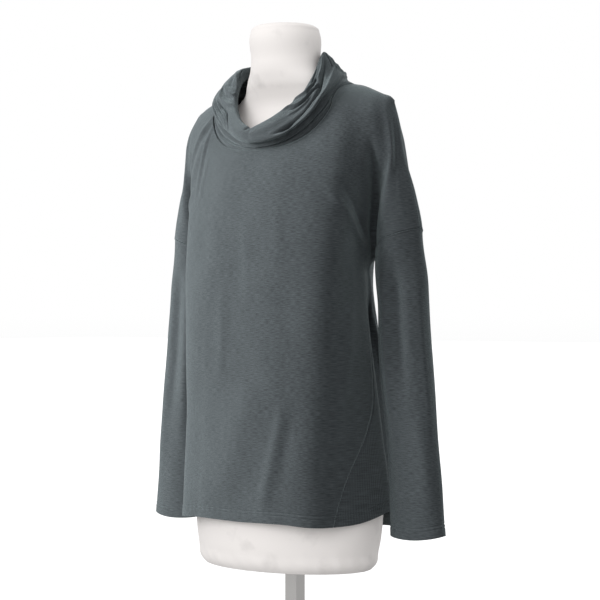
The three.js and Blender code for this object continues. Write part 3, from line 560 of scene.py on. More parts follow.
class Body:
    """The worn shape of front and back, as a surface over a ring parameter and a height."""

    quarter = (0, U_MID, U_CORNER, U_RIDGE, U_VALLEY, U_INNER, U_FACE)
    upper_knots = (*quarter, U_OUT, *map(lambda u: 4 - u, quarter[::-1]))
    lower_knots = (*quarter[:5], HALF_RING / 2, *map(lambda u: HALF_RING - u, quarter[4::-1]))

    @staticmethod
    def loop(knots: Sequence[float], xs: list, ys: list, q: Array, creases: Sequence[int], crease: Array) -> tuple:
        """Point of a section at q, with the loop mirrored past both centre lines.

        Args:
            knots: Parameters of the section's points.
            xs: Their x, each an array over the places.
            ys: Their y.
            q: The places on the loop.
            creases: Which points may be creased.
            crease: Strength of the crease at each place.

        Returns:
            The x and y of each place.
        """
        last = len(knots) - 1
        whole = (-knots[1], *knots, 2 * knots[last] - knots[last - 1])
        x = np.stack([-xs[1], *xs, -xs[last - 1]], axis=-1)
        y = np.stack([ys[1], *ys, ys[last - 1]], axis=-1)
        corners = np.zeros(q.shape + (len(whole),))
        for k in creases:
            corners[..., k + 1] = crease
        return curve(whole, x, q, corners), curve(whole, y, q, corners)

    @staticmethod
    def section(z: Array, fronts: str, backs: str, bridged: bool = False) -> tuple[list, list]:
        """Points of the section at each height, from the centre front round to the centre back.

        Args:
            z: Heights.
            fronts: Names of the front's points.
            backs: Names of the back's points.
            bridged: Whether a point is added midway between the front's last one and the back's valley.

        Returns:
            Their x and their y.
        """
        nil = np.zeros_like(z)
        xs = [nil, *(FRONT.at(f"{k}X", z) for k in fronts.split())]
        ys = [FRONT.at("cf", z), *(FRONT.at(f"{k}Y", z) for k in fronts.split())]
        if bridged:
            xs.append(xs[-1])
            ys.append((ys[-1] + BACK.at("valleyY", z)) / 2)
        xs += [*(BACK.at(f"{k}X", z) for k in backs.split()), nil]
        ys += [*(BACK.at(f"{k}Y", z) for k in backs.split()), BACK.at("cb", z)]
        return xs, ys

    @classmethod
    def upper(cls, q: Array, z: Array) -> tuple:
        """Section above the underarm: front for q from 0 to 2 and back for q from 2 to 4."""
        xs, ys = cls.section(z, "mid corner ridge valley inner face out", "face inner valley side corner mid")
        return cls.loop(cls.upper_knots, xs, ys, q, (4, 10), 1 - smooth(UNDERARM + 15, UNDERARM + 110, z))

    @classmethod
    def lower(cls, q: Array, z: Array) -> tuple:
        """Section below the underarm, for q from 0 at the front to HALF_RING at the back."""
        xs, ys = cls.section(z, "mid corner ridge valley", "valley side corner mid", True)
        return cls.loop(cls.lower_knots, xs, ys, q, (4, 6), smooth(UNDERARM - 90, UNDERARM - 10, z))

    @classmethod
    def plain(cls, above: bool, q: Array, z: Array) -> Array:
        """Surface without folds on the wearer's left.

        Args:
            above: Whether the place is above the underarm.
            q: Places on the ring.
            z: Heights.

        Returns:
            Points, one row each.
        """
        q, z = np.broadcast_arrays(np.asarray(q, float), np.asarray(z, float))
        if not above:
            x, y = cls.lower(q, z)
            return np.stack((x, y, z), axis=-1)
        x, y = cls.upper(q, z)
        u = np.where(q > U_OUT, 4 - q, q)
        share = cls.round_over(u, z)
        line_x, line_y = SHOULDER.at("x", u), SHOULDER.at("y", u)
        return np.stack((line_x + (x - line_x) * share, line_y + (y - line_y) * share, z), axis=-1)

    @staticmethod
    def round_over(u: Array, z: Array) -> Array:
        """Share of the section's depth that is left near the shoulder's top line."""
        drop = (SHOULDER.at("z", u) - z) / SHOULDER_ROUND
        return np.sqrt(np.clip(1 - (1 - np.clip(drop, 0, 1)) ** 2, 0, 1))

    @classmethod
    def normal(cls, above: bool, q: Array, z: Array) -> Array:
        """Outward unit normals of the plain surface on the wearer's left."""
        q, z = np.broadcast_arrays(np.asarray(q, float), np.asarray(z, float))
        along = cls.plain(above, q + 0.01, z) - cls.plain(above, q - 0.01, z)
        rise = cls.plain(above, q, z + 1) - cls.plain(above, q, z - 1)
        return unit(np.cross(along, rise))

    @classmethod
    def cloth(cls, above: bool, panel: Panel, q: Array, z: Array, side: Array) -> Array:
        """Surface of the cloth with its folds.

        Args:
            above: Whether the places are above the underarm.
            panel: The panel whose folds count above the underarm.
            q: Places on the ring.
            z: Heights.
            side: 1 on the wearer's left and -1 on the right.

        Returns:
            Points in millimetres, one row each.
        """
        q, z = np.broadcast_arrays(np.asarray(q, float), np.asarray(z, float))
        on_front = panel is Panel.FRONT if above else q <= HALF_RING / 2 + 0.01
        front_u = q * side
        back_u = ((4 if above else HALF_RING) - q) * side
        front = sum((f.rise(front_u, z) for f in FOLDS[Panel.FRONT]), np.zeros_like(z))
        back = sum((f.rise(back_u, z) for f in FOLDS[Panel.BACK]), np.zeros_like(z))
        p = cls.plain(above, q, z)
        height = np.where(on_front, front, back) + unevenness(p * np.stack((side, side**0, side**0), axis=-1))
        height = height + (cls.upper_seams(panel, q, z) if above else cls.lower_seams(q, z))
        p = p + cls.normal(above, q, z) * height[..., None]
        p[..., 0] *= side
        return p

    @staticmethod
    def upper_seams(panel: Panel, q: Array, z: Array) -> Array:
        """Relief of the seams at the neck, shoulder and armhole."""
        u = np.where(q > U_OUT, 4 - q, q)
        neck = FRONT_NECK if panel is Panel.FRONT else BACK_NECK
        below = np.where(u < U_NECK, neck.at("z", u) - z, FAR)
        beside = np.where((z > NECK_CORNER) & (panel is Panel.FRONT), np.abs(u - U_NECK) * NECK_MM, FAR)
        top = np.where(u >= U_NECK, SHOULDER_ARC * Body.round_over(u, z), FAR)
        armhole = np.where(u > U_VALLEY, z - SLEEVE_SEAM.at("z", u), FAR)
        neck_relief = SEWING.seam(np.minimum(below, beside), SEWING.neck)
        return neck_relief + SEWING.seam(top, SEWING.shoulder) + SEWING.seam(armhole, SEWING.armhole)

    @staticmethod
    def lower_seams(q: Array, z: Array) -> Array:
        """Relief of the side seam and the hem."""
        side = np.abs(q - SIDE_SEAM.at("q", z)) / RING_PER_MM
        return SEWING.seam(side, SEWING.side) + SEWING.hem(z - HEM.at("z", q), q / RING_PER_MM)


KNIT_MAP = "knit"
Place = Callable[[Array, Array], tuple[Array, Array]]


def pair(a: Array, b: Array) -> Array:
    """Two arrays as the columns of a UV map."""
    return np.stack(np.broadcast_arrays(a, b), axis=-1)


@dataclass
class Cloth:
    """A sheet put together from grids, each moved into place by a function, with knit directions in its UV map."""

    name: str
    bm: bmesh.types.BMesh = field(default_factory=bmesh.new)

    def patch(self, columns: int, rows: int, place: Place, flipped: bool = False) -> None:
        """Add a grid whose points a function moves.

        Args:
            columns: Faces across.
            rows: Faces up.
            place: Gives points in millimetres and UV in metres from shares across and up.
            flipped: Whether the grid's faces must be turned over.
        """
        grid = bmesh.new()
        bmesh.ops.create_grid(grid, x_segments=columns, y_segments=rows, size=1)
        if flipped:
            bmesh.ops.reverse_faces(grid, faces=grid.faces)
        mesh = bpy.data.meshes.new("patch")
        grid.to_mesh(mesh)
        grid.free()
        flat = np.empty(len(mesh.vertices) * 3)
        mesh.vertices.foreach_get("co", flat)
        shares = (flat.reshape(rows + 1, columns + 1, 3) / 2 + 0.5)[..., :2]
        points, knit = place(shares[..., 0], shares[..., 1])
        moved = (points + (0, 0, FORM_UNDERSIDE)) * MM
        mesh.vertices.foreach_set("co", moved.ravel())
        corners = np.empty(len(mesh.loops), int)
        mesh.loops.foreach_get("vertex_index", corners)
        mesh.uv_layers.new(name=KNIT_MAP).data.foreach_set("uv", knit.reshape(-1, 2)[corners].ravel())
        mesh.polygons.foreach_set("use_smooth", np.ones(len(mesh.polygons), bool))
        self.bm.from_mesh(mesh)
        bpy.data.meshes.remove(mesh)

    def finish(self, wall: float) -> Object:
        """Close the seams of the patches and give the cloth its wall.

        Args:
            wall: Thickness of the cloth in metres, added inwards.

        Returns:
            The new object.
        """
        bmesh.ops.remove_doubles(self.bm, verts=self.bm.verts, dist=MERGE)
        obj = new_object(self.name, self.bm)
        solid = obj.modifiers.new("wall", "SOLIDIFY")
        solid.thickness = wall
        solid.offset = -1
        solid.use_even_offset = False
        return obj


def new_object(name: str, bm: bmesh.types.BMesh) -> Object:
    """Object at the origin from a bmesh, which is freed."""
    mesh = bpy.data.meshes.new(name)
    bm.to_mesh(mesh)
    bm.free()
    obj = bpy.data.objects.new(name, mesh)
    bpy.context.scene.collection.objects.link(obj)
    return obj


@dataclass
class Wiring:
    """Nodes of a material or a world."""

    tree: NodeTree

    def feed(self, node: Node, inputs: dict[str | int, object]) -> None:
        """Set a node's inputs to values, or link them to sockets."""
        for name, value in inputs.items():
            if isinstance(value, NodeSocket):
                self.tree.links.new(value, node.inputs[name])
            else:
                node.inputs[name].default_value = value

    def add(self, kind: str, inputs: dict[str | int, object], **settings: object) -> Node:
        """Add a node.

        Args:
            kind: The node's type without its prefix.
            inputs: Values and sockets of its inputs.
            settings: Its properties.

        Returns:
            The node.
        """
        node = self.tree.nodes.new(f"ShaderNode{kind}")
        for name, value in settings.items():
            setattr(node, name, value)
        self.feed(node, inputs)
        return node

    def math(self, operation: str, *values: object) -> NodeSocket:
        """One step of arithmetic on sockets or numbers."""
        return self.add("Math", dict(enumerate(values)), operation=operation).outputs[0]

    def ramp(self, share: NodeSocket, *ends: tuple[float, tuple[float, ...]]) -> NodeSocket:
        """Colour between two ends, each a position and a colour."""
        node = self.add("ValToRGB", {"Fac": share})
        for element, (position, colour) in zip(node.color_ramp.elements, ends):
            element.position = position
            element.color = (*colour, 1)
        return node.outputs["Color"]

    def bump(self, height: NodeSocket, strength: float, distance: float) -> NodeSocket:
        """Normal of a small relief."""
        return self.add("Bump", {"Height": height, "Strength": strength, "Distance": distance}).outputs["Normal"]


def shader(name: str) -> tuple[Material, Wiring, Node]:
    """New material with its wiring and main shader."""
    material = bpy.data.materials.new(name)
    material.use_nodes = True
    return material, Wiring(material.node_tree), material.node_tree.nodes["Principled BSDF"]


@dataclass(frozen=True)
class Jersey:
    """Fine heathered jersey: dark and light yarns in short streaks, soft nap and small knit columns."""

    ends: tuple[float, float] = (0.3, 0.86)
    relief: tuple[float, float] = (0.45, 0.0005)
    dark: tuple[float, float, float] = (0.0215, 0.0250, 0.0276)
    light: tuple[float, float, float] = (0.0560, 0.0640, 0.0695)
    fine: tuple[float, float] = (115, 880)
    broad: tuple[float, float] = (26, 60)
    broad_weight: float = 0.12
    wale: float = 0.0012
    course: float = 0.0010

    def make(self) -> Material:
        """Build the material, which reads the UV map in metres."""
        material, wiring, bsdf = shader("heathered jersey")
        uv = wiring.add("UVMap", {}, uv_map=KNIT_MAP).outputs["UV"]

        def streaks(scale: tuple[float, float]) -> NodeSocket:
            """Noise stretched along the courses."""
            place = wiring.add("Mapping", {"Vector": uv, "Scale": (*scale, 1)}).outputs["Vector"]
            noise = {"Vector": place, "Scale": 1, "Detail": 2, "Roughness": 0.5}
            return wiring.add("TexNoise", noise, noise_dimensions="2D").outputs["Fac"]

        yarn = wiring.math("MULTIPLY_ADD", streaks(self.broad), self.broad_weight, streaks(self.fine))
        wiring.feed(bsdf, {
            "Base Color": wiring.ramp(yarn, (self.ends[0], self.dark), (self.ends[1], self.light)),
            "Normal": wiring.bump(self.stitches(wiring, uv), *self.relief),
            "Roughness": 0.92,
            "Specular IOR Level": 0.18,
            "Sheen Weight": 0.3,
            "Sheen Roughness": 0.5,
            "Sheen Tint": (0.76, 0.92, 0.94, 1),
        })
        return material

    def stitches(self, wiring: Wiring, uv: NodeSocket) -> NodeSocket:
        """Height of the knit's V-shaped stitches, as columns whose loops lean to and fro.

        Args:
            wiring: The material's nodes.
            uv: The UV socket.

        Returns:
            Socket with the height.
        """
        split = wiring.add("SeparateXYZ", {0: uv}).outputs
        step = wiring.math
        across = step("MULTIPLY", split["X"], 1 / self.wale)
        up = step("MULTIPLY", split["Y"], 1 / self.course)
        phase = step("ADD", up, step("MULTIPLY", step("PINGPONG", across, 0.5), 1.1))
        loops = step("SINE", step("MULTIPLY", phase, math.tau))
        column = step("SINE", step("MULTIPLY", across, math.tau))
        return step("ADD", step("MULTIPLY", loops, 0.5), step("MULTIPLY", column, 0.7))


@dataclass(frozen=True)
class FormCover:
    """Smooth white stretch cover of the dress form, with a faint weave."""

    colour: tuple[float, float, float] = (0.80, 0.765, 0.745)
    shaded: float = 0.86

    def make(self) -> Material:
        """Build the material."""
        material, wiring, bsdf = shader("form cover")
        place = wiring.add("TexCoord", {}).outputs["Object"]
        weave = wiring.add("TexNoise", {"Vector": place, "Scale": 900, "Detail": 3}).outputs["Fac"]
        broad = wiring.add("TexNoise", {"Vector": place, "Scale": 22, "Detail": 4}).outputs["Fac"]
        dim = tuple(self.shaded * c for c in self.colour)
        wiring.feed(bsdf, {
            "Base Color": wiring.ramp(broad, (0.26, dim), (0.42, self.colour)),
            "Normal": wiring.bump(weave, 0.15, 0.0004),
            "Roughness": 0.75,
            "Sheen Weight": 0.15,
        })
        return material


@dataclass(frozen=True)
class SatinSteel:
    """Satin steel with fine lengthwise brushing."""

    colour: tuple[float, float, float] = (0.50, 0.49, 0.48)

    def make(self) -> Material:
        """Build the material."""
        material, wiring, bsdf = shader("satin steel")
        place = wiring.add("TexCoord", {}).outputs["Object"]
        stretch = wiring.add("Mapping", {"Vector": place, "Scale": (1400, 1400, 12)}).outputs["Vector"]
        noise = wiring.add("TexNoise", {"Vector": stretch, "Scale": 1}).outputs["Fac"]
        rough = wiring.add("MapRange", {"Value": noise, "To Min": 0.24, "To Max": 0.42}).outputs["Result"]
        wiring.feed(bsdf, {"Roughness": rough, "Base Color": (*self.colour, 1), "Metallic": 1})
        return material


def reach(q: Array) -> Array:
    """Arc length in metres from the centre front to a place on the upper ring, for the knit's columns."""
    steps = np.linspace(0, 4, 401)
    points = Body.plain(True, steps, np.full_like(steps, 560.0))
    length = np.concatenate(([0.0], np.cumsum(np.linalg.norm(np.diff(points, axis=0), axis=-1))))
    return np.interp(q, steps, length) * MM


@dataclass
class BodyPanel:
    """One body panel: a block between the underarm and neck, shoulder blocks, and the skirt down to the hem."""

    panel: Panel
    wall: float = 0.0012
    neck_columns: int = 112
    side_columns: int = 40
    lobe_columns: int = 36
    upper_rows: int = 76
    shoulder_rows: int = 16
    skirt_rows: int = 122

    def neck_share(self) -> float:
        """Share of a column's height where the block below the neck ends."""
        if self.panel is Panel.BACK:
            return 1.0
        corner = float(FRONT_NECK.at("z", U_NECK))
        return (corner - UNDERARM) / (float(SHOULDER.at("z", U_NECK)) - UNDERARM)

    def height(self, size: Array, share: Array) -> Array:
        """Height of a row above the underarm on the column at size."""
        bottom = np.where(size > U_VALLEY, SLEEVE_SEAM.at("z", size), UNDERARM)
        top = SHOULDER.at("z", size)
        neck = (FRONT_NECK if self.panel is Panel.FRONT else BACK_NECK).at("z", size)
        outer = bottom + (top - bottom) * share
        inner = UNDERARM + (neck - UNDERARM) * share / self.neck_share()
        return np.where(size < U_NECK - 1e-6, inner, outer)

    def upper_place(self, u1: float, u2: float, low: float, high: float) -> Place:
        """Function that puts a block above the underarm.

        Args:
            u1: First column.
            u2: Last column.
            low: Share of the lowest row.
            high: Share of the highest row.
        """

        def place(s: Array, t: Array) -> tuple[Array, Array]:
            """Points and UV of the block."""
            u = u1 + (u2 - u1) * s
            side = np.where(u < 0, -1.0, 1.0)
            size = np.abs(u)
            z = self.height(size, low + (high - low) * t)
            q = size if self.panel is Panel.FRONT else 4 - size
            points = Body.cloth(True, self.panel, q, z, side)
            over = (1 - Body.round_over(size, z)) * SHOULDER_OVER
            arc = reach(q) * side
            return points, pair(arc, (z + over) * MM)

        return place

    def skirt_place(self, u1: float, u2: float) -> Place:
        """Function that puts a block below the underarm, with its rows closer together near the hem."""

        def place(s: Array, t: Array) -> tuple[Array, Array]:
            """Points and UV of the block."""
            u = u1 + (u2 - u1) * s
            side = np.where(u < 0, -1.0, 1.0)
            size = np.abs(u) / (U_VALLEY + SEAM_STEP)
            z = np.full_like(u, UNDERARM)
            q = z
            t = np.interp(t, *HEM_SPREAD)
            for _ in range(5):
                seam = SIDE_SEAM.at("q", z)
                q = seam * size if self.panel is Panel.FRONT else HALF_RING - (HALF_RING - seam) * size
                z = UNDERARM + (HEM.at("z", q) - UNDERARM) * (1 - t)
            points = Body.cloth(False, self.panel, q, z, side)
            ring = q if self.panel is Panel.FRONT else 4 - HALF_RING + q
            arc = reach(ring) * side
            return points, pair(arc, z * MM)

        return place

    def build(self) -> Object:
        """Make the panel."""
        cloth = Cloth(f"{self.panel.value}_panel")
        flip = self.panel is Panel.BACK
        share = self.neck_share()
        rows = self.upper_rows
        cloth.patch(self.neck_columns, rows, self.upper_place(-U_NECK, U_NECK, 0, share), flip)
        for side in (-1, 1):
            spans = ((U_NECK, U_VALLEY, self.side_columns), (U_VALLEY, U_OUT, self.lobe_columns))
            for u1, u2, columns in spans:
                a, b = sorted((side * u1, side * u2))
                cloth.patch(columns, rows, self.upper_place(a, b, 0, share), flip)
                if share < 1:
                    cloth.patch(columns, self.shoulder_rows, self.upper_place(a, b, share, 1), flip)
            a, b = sorted((side * U_NECK, side * U_VALLEY))
            cloth.patch(self.side_columns, self.skirt_rows, self.skirt_place(a, b), flip)
            a, b = sorted((side * U_VALLEY, side * (U_VALLEY + SEAM_STEP)))
            cloth.patch(2, self.skirt_rows, self.skirt_place(a, b), flip)
        cloth.patch(self.neck_columns, self.skirt_rows, self.skirt_place(-U_NECK, U_NECK), flip)
        return cloth.finish(self.wall)


@dataclass
class Sleeve:
    """A long sleeve hanging empty, from the dropped shoulder's seam to the cuff."""

    side: int
    wall: float = 0.0012
    columns: int = 144
    rows: int = 200
    round_length: float = 235.0

    def armhole(self, turn: Array) -> Array:
        """Points of the armhole's lower edge by turn round the sleeve."""
        share = np.clip((np.where(turn <= 0.5, turn, 1 - turn) - UNDERARM_TURN) / (0.5 - UNDERARM_TURN), 0, 1)
        u = U_VALLEY + (U_OUT - U_VALLEY) * share
        z = SLEEVE_SEAM.at("z", u)
        side = np.full_like(z, self.side)
        front = Body.cloth(True, Panel.FRONT, u, z, side)
        back = Body.cloth(True, Panel.BACK, 4 - u, z, side)
        return np.where((turn <= 0.5)[..., None], front, back)

    def surface(self, turn: Array, z: Array) -> Array:
        """Points of the sleeve at turns and heights."""
        angle = turn * math.tau
        row = {name: SLEEVE.at(name, z) for name in SLEEVE.columns[1:]}
        x = (row["centreX"] - row["halfX"] * np.cos(angle)) * self.side
        y = row["centreY"] - row["halfY"] * np.sin(angle)
        rise = sum((f.rise(turn, z) for f in SLEEVE_FOLDS if f.side == self.side), np.zeros_like(z))
        oval = np.stack((x - np.cos(angle) * self.side * rise, y - np.sin(angle) * rise, z), axis=-1)
        top = self.armhole(turn)
        top[..., 0] += self.side * 0.8 * bell(np.minimum(turn, 1 - turn) / 0.06)
        share = smooth(0, SLEEVE_MERGE, top[..., 2] - z)[..., None]
        top[..., 2] = z
        return top + (oval - top) * share

    def place(self, s: Array, t: Array) -> tuple[Array, Array]:
        """Points and UV of the sleeve from shares round and up."""
        turn = UNDERARM_TURN + (1 - 2 * UNDERARM_TURN) * s
        return self.patch_at(turn, np.interp(t, *SLEEVE_SPREAD))

    def patch_at(self, turn: Array, t: Array) -> tuple[Array, Array]:
        """Points and UV at turns round the sleeve and shares up it."""
        top = self.armhole(turn)[..., 2] - 0.3
        low = CUFF.at("z", turn)
        z = low + (top - low) * t
        points = self.surface(turn, z)
        arc = turn * self.round_length
        relief = SEWING.hem(z - low, arc) + SEWING.seam(top - z, 1.5) + unevenness(points)
        relief = relief * smooth(0, 0.03, np.minimum(turn, 1 - turn))
        angle = turn * math.tau
        points[..., 0] -= np.cos(angle) * relief * self.side
        points[..., 1] -= np.sin(angle) * relief
        return points, pair(arc * MM, z * MM)

    def underarm(self, s: Array, t: Array) -> tuple[Array, Array]:
        """Narrow strip that closes the tube under the arm."""
        t = np.interp(t, *SLEEVE_SPREAD)
        first, _ = self.patch_at(np.full_like(s, UNDERARM_TURN), t)
        last, knit = self.patch_at(np.full_like(s, 1 - UNDERARM_TURN), t)
        return last + (first - last) * s[..., None], knit + pair(s * 0.006, 0.0)

    def build(self) -> Object:
        """Make the sleeve."""
        cloth = Cloth("left_sleeve" if self.side > 0 else "right_sleeve")
        flip = self.side < 0
        cloth.patch(self.columns, self.rows, self.place, flip)
        cloth.patch(2, self.rows, self.underarm, flip)
        return cloth.finish(self.wall)


@dataclass
class Cowl:
    """The slouchy cowl collar: a tube of cloth folded down on itself, gathered at both shoulders."""

    wall: float = 0.0014
    columns: int = 410
    rows: int = 118
    lap_in: float = 1.9
    lap_down: float = 3.0

    def neckline(self) -> tuple[Array, Array]:
        """Points of the neckline from the centre front round the wearer's left, with their directions in degrees."""
        front = BodyPanel(Panel.FRONT)
        back = BodyPanel(Panel.BACK)
        across = np.linspace(0, U_NECK, 60)
        low = Body.cloth(True, Panel.FRONT, across, front.height(across, np.full(60, front.neck_share())), np.ones(60))
        climb = np.linspace(front.neck_share(), 1, 30)[1:]
        size = np.full(29, U_NECK)
        side = Body.cloth(True, Panel.FRONT, size, front.height(size, climb), np.ones(29))
        rear_u = np.linspace(U_NECK, 0, 50)[1:]
        rear = Body.cloth(True, Panel.BACK, 4 - rear_u, back.height(rear_u, np.ones(49)), np.ones(49))
        half = np.concatenate((low, side, rear))
        turn = np.degrees(np.arctan2(half[:, 0], COLLAR_AXIS_Y - half[:, 1]))
        mirrored = half[::-1].copy()
        mirrored[:, 0] *= -1
        points = np.concatenate((half, mirrored[1:]))
        return points, np.concatenate((turn, 360 - turn[::-1][1:]))

    def profile(self, turn: Array, v: Array, seam: Array) -> tuple[Array, Array]:
        """Radius and height of the collar's cloth.

        Args:
            turn: Directions round the neck in degrees.
            v: Places from the seam, 0, to the edge inside the rim, 1.
            seam: The neckline's point in each direction.

        Returns:
            Radius from the neck's axis and height, in millimetres.
        """
        row = {name: COLLAR.at(name, turn) for name in COLLAR.columns[1:]}
        start_r = np.hypot(seam[..., 0], seam[..., 1] - COLLAR_AXIS_Y)
        start_z = seam[..., 2]
        radii = np.stack((start_r, (start_r + row["foldR"]) / 2, row["foldR"], row["rollR"], row["creaseR"],
                          row["swellR"], row["rimR"], row["rimR"] - 4, row["rimR"] - 4), axis=-1)
        heights = np.stack((start_z, (start_z + row["foldZ"]) / 2, row["foldZ"], row["rollZ"], row["creaseZ"],
                            row["swellZ"], row["rimZ"], row["rimZ"] - 5, row["tuckZ"]), axis=-1)
        return curve(COLLAR_V, radii, v), curve(COLLAR_V, heights, v)

    def ring(self, turn: Array, v: Array, seam: Array) -> Array:
        """Points of the collar without its creases."""
        r, z = self.profile(turn % 360, np.clip(v, 0, 1), seam)
        angle = np.radians(turn)
        return np.stack((r * np.sin(angle), COLLAR_AXIS_Y - r * np.cos(angle), z), axis=-1)

    def place(self, s: Array, t: Array) -> tuple[Array, Array]:
        """Points and UV of the collar from shares round and up."""
        line, turns = self.neckline()
        turn = s * 360
        seam = np.stack([np.interp(turn, turns, line[:, k]) for k in range(3)], axis=-1)
        points = self.ring(turn, t, seam)
        around = self.ring(turn + 0.2, t, seam) - self.ring(turn - 0.2, t, seam)
        along = self.ring(turn, t + 0.003, seam) - self.ring(turn, t - 0.003, seam)
        out = unit(np.cross(around, along))
        relief = sum((crease.rise(turn, t) for crease in CREASES), 0.6 * unevenness(points * 1.6))
        relief = relief * smooth(0, 0.06, t) * (1 - 0.7 * smooth(0.88, 0.97, t))
        points = points + out * relief[..., None]
        tuck = 1 - smooth(0, 0.045, t)
        points[..., 0] -= np.sin(np.radians(turn)) * self.lap_in * tuck
        points[..., 1] += np.cos(np.radians(turn)) * self.lap_in * tuck
        points[..., 2] -= self.lap_down * tuck
        return points, pair(s * COLLAR_ROUND, t * COLLAR_CLOTH)

    def build(self) -> Object:
        """Make the collar."""
        cloth = Cloth("cowl")
        cloth.patch(self.columns, self.rows, self.place)
        return cloth.finish(self.wall)


@dataclass
class DressForm:
    """The padded form: ovals with their own front and back, from its flat underside to the flat top of its neck."""

    columns: int = 240
    rows: int = 220

    def build(self) -> Object:
        """Make the form's cover."""
        cloth = Cloth("form_cover")
        z_rows = FORM.column("z")
        rows = self.rows

        def place(s: Array, t: Array) -> tuple[Array, Array]:
            """Points of the cover; the first and last rows gather to the middle."""
            i = np.round(t * rows)
            inner = np.clip((i - 2) / (rows - 4), 0, 1)
            z = np.interp(inner, np.linspace(0, 1, len(z_rows)), z_rows)
            half, front, back = (FORM.at(name, z) for name in ("half", "front", "back"))
            angle = s * math.tau
            shrink = np.where((i == 0) | (i == rows), 0.0, np.where((i == 1) | (i == rows - 1), 0.92, 1.0))
            middle = (front + back) / 2
            gathers = np.sin(angle * 9 + 2 * np.sin(angle * 2)) * np.sin(angle * 23 + z / 9)
            pull = 1 - 0.008 * bell((z - 14) / 13) * gathers - 0.0016 * bell((z - 45) / 30) * np.sin(angle * 7 + z / 22)
            x = half * np.sin(angle) * shrink * pull
            y = middle - (back - front) / 2 * np.cos(angle) * shrink * pull
            return np.stack((x, y, z), axis=-1), pair(s * FORM_ROUND, z * MM)

        cloth.patch(self.columns, rows, place)
        bmesh.ops.remove_doubles(cloth.bm, verts=cloth.bm.verts, dist=MERGE)
        return new_object(cloth.name, cloth.bm)


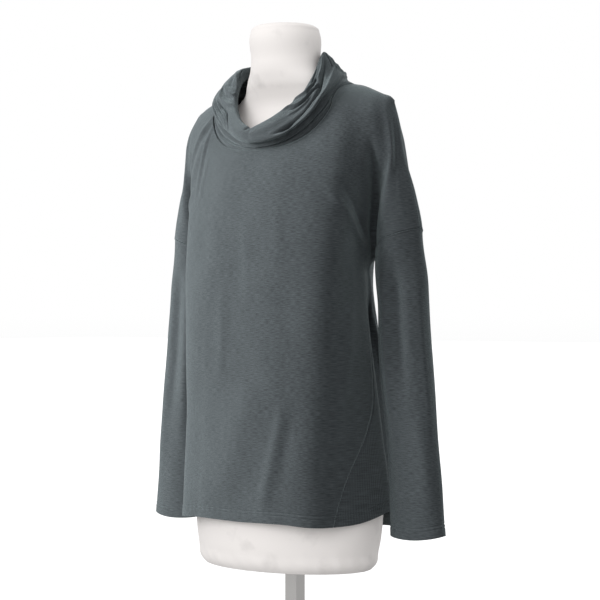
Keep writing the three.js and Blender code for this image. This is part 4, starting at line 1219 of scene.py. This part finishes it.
@dataclass(frozen=True)
class Studio:
    """Pale floor, soft light and the camera."""

    azimuth: float = 38.0
    distance: float = 2.7
    eye: float = 0.589
    pixels: float = 600.0
    focal_pixels: float = 1714.5
    axis_column: float = 295.0
    horizon_row: float = 315.0
    aim: float = 0.6
    shade_azimuth: float = 112.0
    shade: float = 0.82
    below: float = 0.5

    def camera(self) -> None:
        """Set the camera, level with the middle of the sweater."""
        data = bpy.data.cameras.new("camera")
        data.sensor_width = 36
        data.lens = 36 * self.focal_pixels / self.pixels
        data.shift_x = (self.pixels / 2 - self.axis_column) / self.pixels
        data.shift_y = (self.horizon_row - self.pixels / 2) / self.pixels
        data.clip_end = 100
        camera = bpy.data.objects.new("camera", data)
        angle = math.radians(self.azimuth)
        camera.location = (self.distance * math.sin(angle), -self.distance * math.cos(angle), self.eye)
        camera.rotation_euler = (math.pi / 2, 0, angle)
        bpy.context.scene.collection.objects.link(camera)
        bpy.context.scene.camera = camera

    def light(
        self, name: str, azimuth: float, elevation: float, distance: float, size: float, power: float,
        on: Collection,
    ) -> None:
        """Add a square soft light that faces the sweater.

        Args:
            name: The light's name.
            azimuth: Its direction from the sweater, in degrees as for the camera.
            elevation: Its height angle in degrees.
            distance: Distance in metres.
            size: Side in metres.
            power: Power in watts.
            on: The pieces that it lights.
        """
        data = bpy.data.lights.new(name, "AREA")
        data.shape = "SQUARE"
        data.size = size
        data.energy = power
        lamp = bpy.data.objects.new(name, data)
        a, e = math.radians(azimuth), math.radians(elevation)
        away = Vector((math.sin(a) * math.cos(e), -math.cos(a) * math.cos(e), math.sin(e)))
        lamp.location = Vector((0, 0, self.aim)) + away * distance
        lamp.rotation_euler = away.to_track_quat("Z", "Y").to_euler()
        bpy.context.scene.collection.objects.link(lamp)
        lamp.light_linking.receiver_collection = on

    def floor(self) -> None:
        """Lay the pale floor."""
        bm = bmesh.new()
        bmesh.ops.create_grid(bm, x_segments=1, y_segments=1, size=30)
        obj = new_object("floor", bm)
        material, wiring, bsdf = shader("pale floor")
        pale, white = (0.95, 0.95, 0.95, 1), (1, 1, 1, 1)
        wiring.feed(bsdf, {"Base Color": pale, "Roughness": 0.9, "Emission Color": white, "Emission Strength": 0.35})
        obj.data.materials.append(material)
        obj.visible_diffuse = False
        obj.visible_glossy = False

    def build(self, cloth: Collection, stand: Collection) -> None:
        """Set up everything round the object.

        Args:
            cloth: The sweater's pieces, which the key light models from the side.
            stand: The pale form and its stand, which take a weaker light.
        """
        self.camera()
        self.floor()
        self.light("key", -44, 18, 2.6, 1.3, 142, cloth)
        self.light("back light", 205, 22, 2.8, 1.8, 60, cloth)
        self.light("form light", -4, 16, 2.6, 1.6, 27, stand)
        self.surroundings()
        bpy.context.scene.view_settings.view_transform = "Standard"

    def surroundings(self) -> None:
        """White walls all round, darker below and towards the shaded side."""
        world = bpy.data.worlds.new("studio")
        world.use_nodes = True
        wiring = Wiring(world.node_tree)
        direction = wiring.add("TexCoord", {}).outputs["Generated"]
        angle = math.radians(self.shade_azimuth)
        away = (math.sin(angle), -math.cos(angle), 0)
        shares = []
        for toward, low, high, dim in ((away, -0.05, 0.85, self.shade), ((0, 0, -1), 0.0, 0.45, self.below)):
            dot = wiring.add("VectorMath", {0: direction, 1: toward}, operation="DOT_PRODUCT").outputs["Value"]
            spread = {"Value": dot, "From Min": low, "From Max": high, "To Min": 1.0, "To Max": dim}
            shares.append(wiring.add("MapRange", spread).outputs["Result"])
        strength = wiring.math("MULTIPLY", *shares)
        wiring.feed(world.node_tree.nodes["Background"], {"Color": (1, 1, 1, 1), "Strength": strength})
        bpy.context.scene.world = world


def dress(obj: Object, material: Material, slot: str, *nodes: str) -> Object:
    """Give a piece its finish, its body and the nodes that it stands for.

    Args:
        obj: The piece.
        material: Its finish.
        slot: The record's material slot, not used.
        nodes: The solids that it replaces.

    Returns:
        The piece.
    """
    obj.data.materials.clear()
    obj.data.materials.append(material)
    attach(obj, "root")
    if nodes:
        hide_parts(*nodes)
    log.info("%s: %d faces", obj.name, len(obj.data.polygons))
    return obj


def main() -> None:
    """Build the sweater on its form and the studio round it."""
    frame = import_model()
    sweater = bpy.data.collections.new("sweater")
    stand = bpy.data.collections.new("form and stand")
    Studio().build(sweater, stand)

    knit = Jersey().make()
    cover = FormCover().make()
    steel = SatinSteel().make()

    front = dress(BodyPanel(Panel.FRONT).build(), knit, "knit", "front")
    back = dress(BodyPanel(Panel.BACK).build(), knit, "knit", "back")
    left = dress(Sleeve(1).build(), knit, "knit", "sleeve_left")
    right = dress(Sleeve(-1).build(), knit, "knit", "sleeve_right")
    cowl = dress(Cowl().build(), knit, "knit", "cowl_collar")
    stand.objects.link(dress(DressForm().build(), cover, "form_cover", "form_torso"))
    for piece in (front, back, left, right, cowl):
        sweater.objects.link(piece)
    for name in ("form_post", "form_foot"):
        node = frame["nodes"][name]
        node.data.materials.clear()
        node.data.materials.append(steel)
        stand.objects.link(node)


if __name__ == "__main__":
    main()
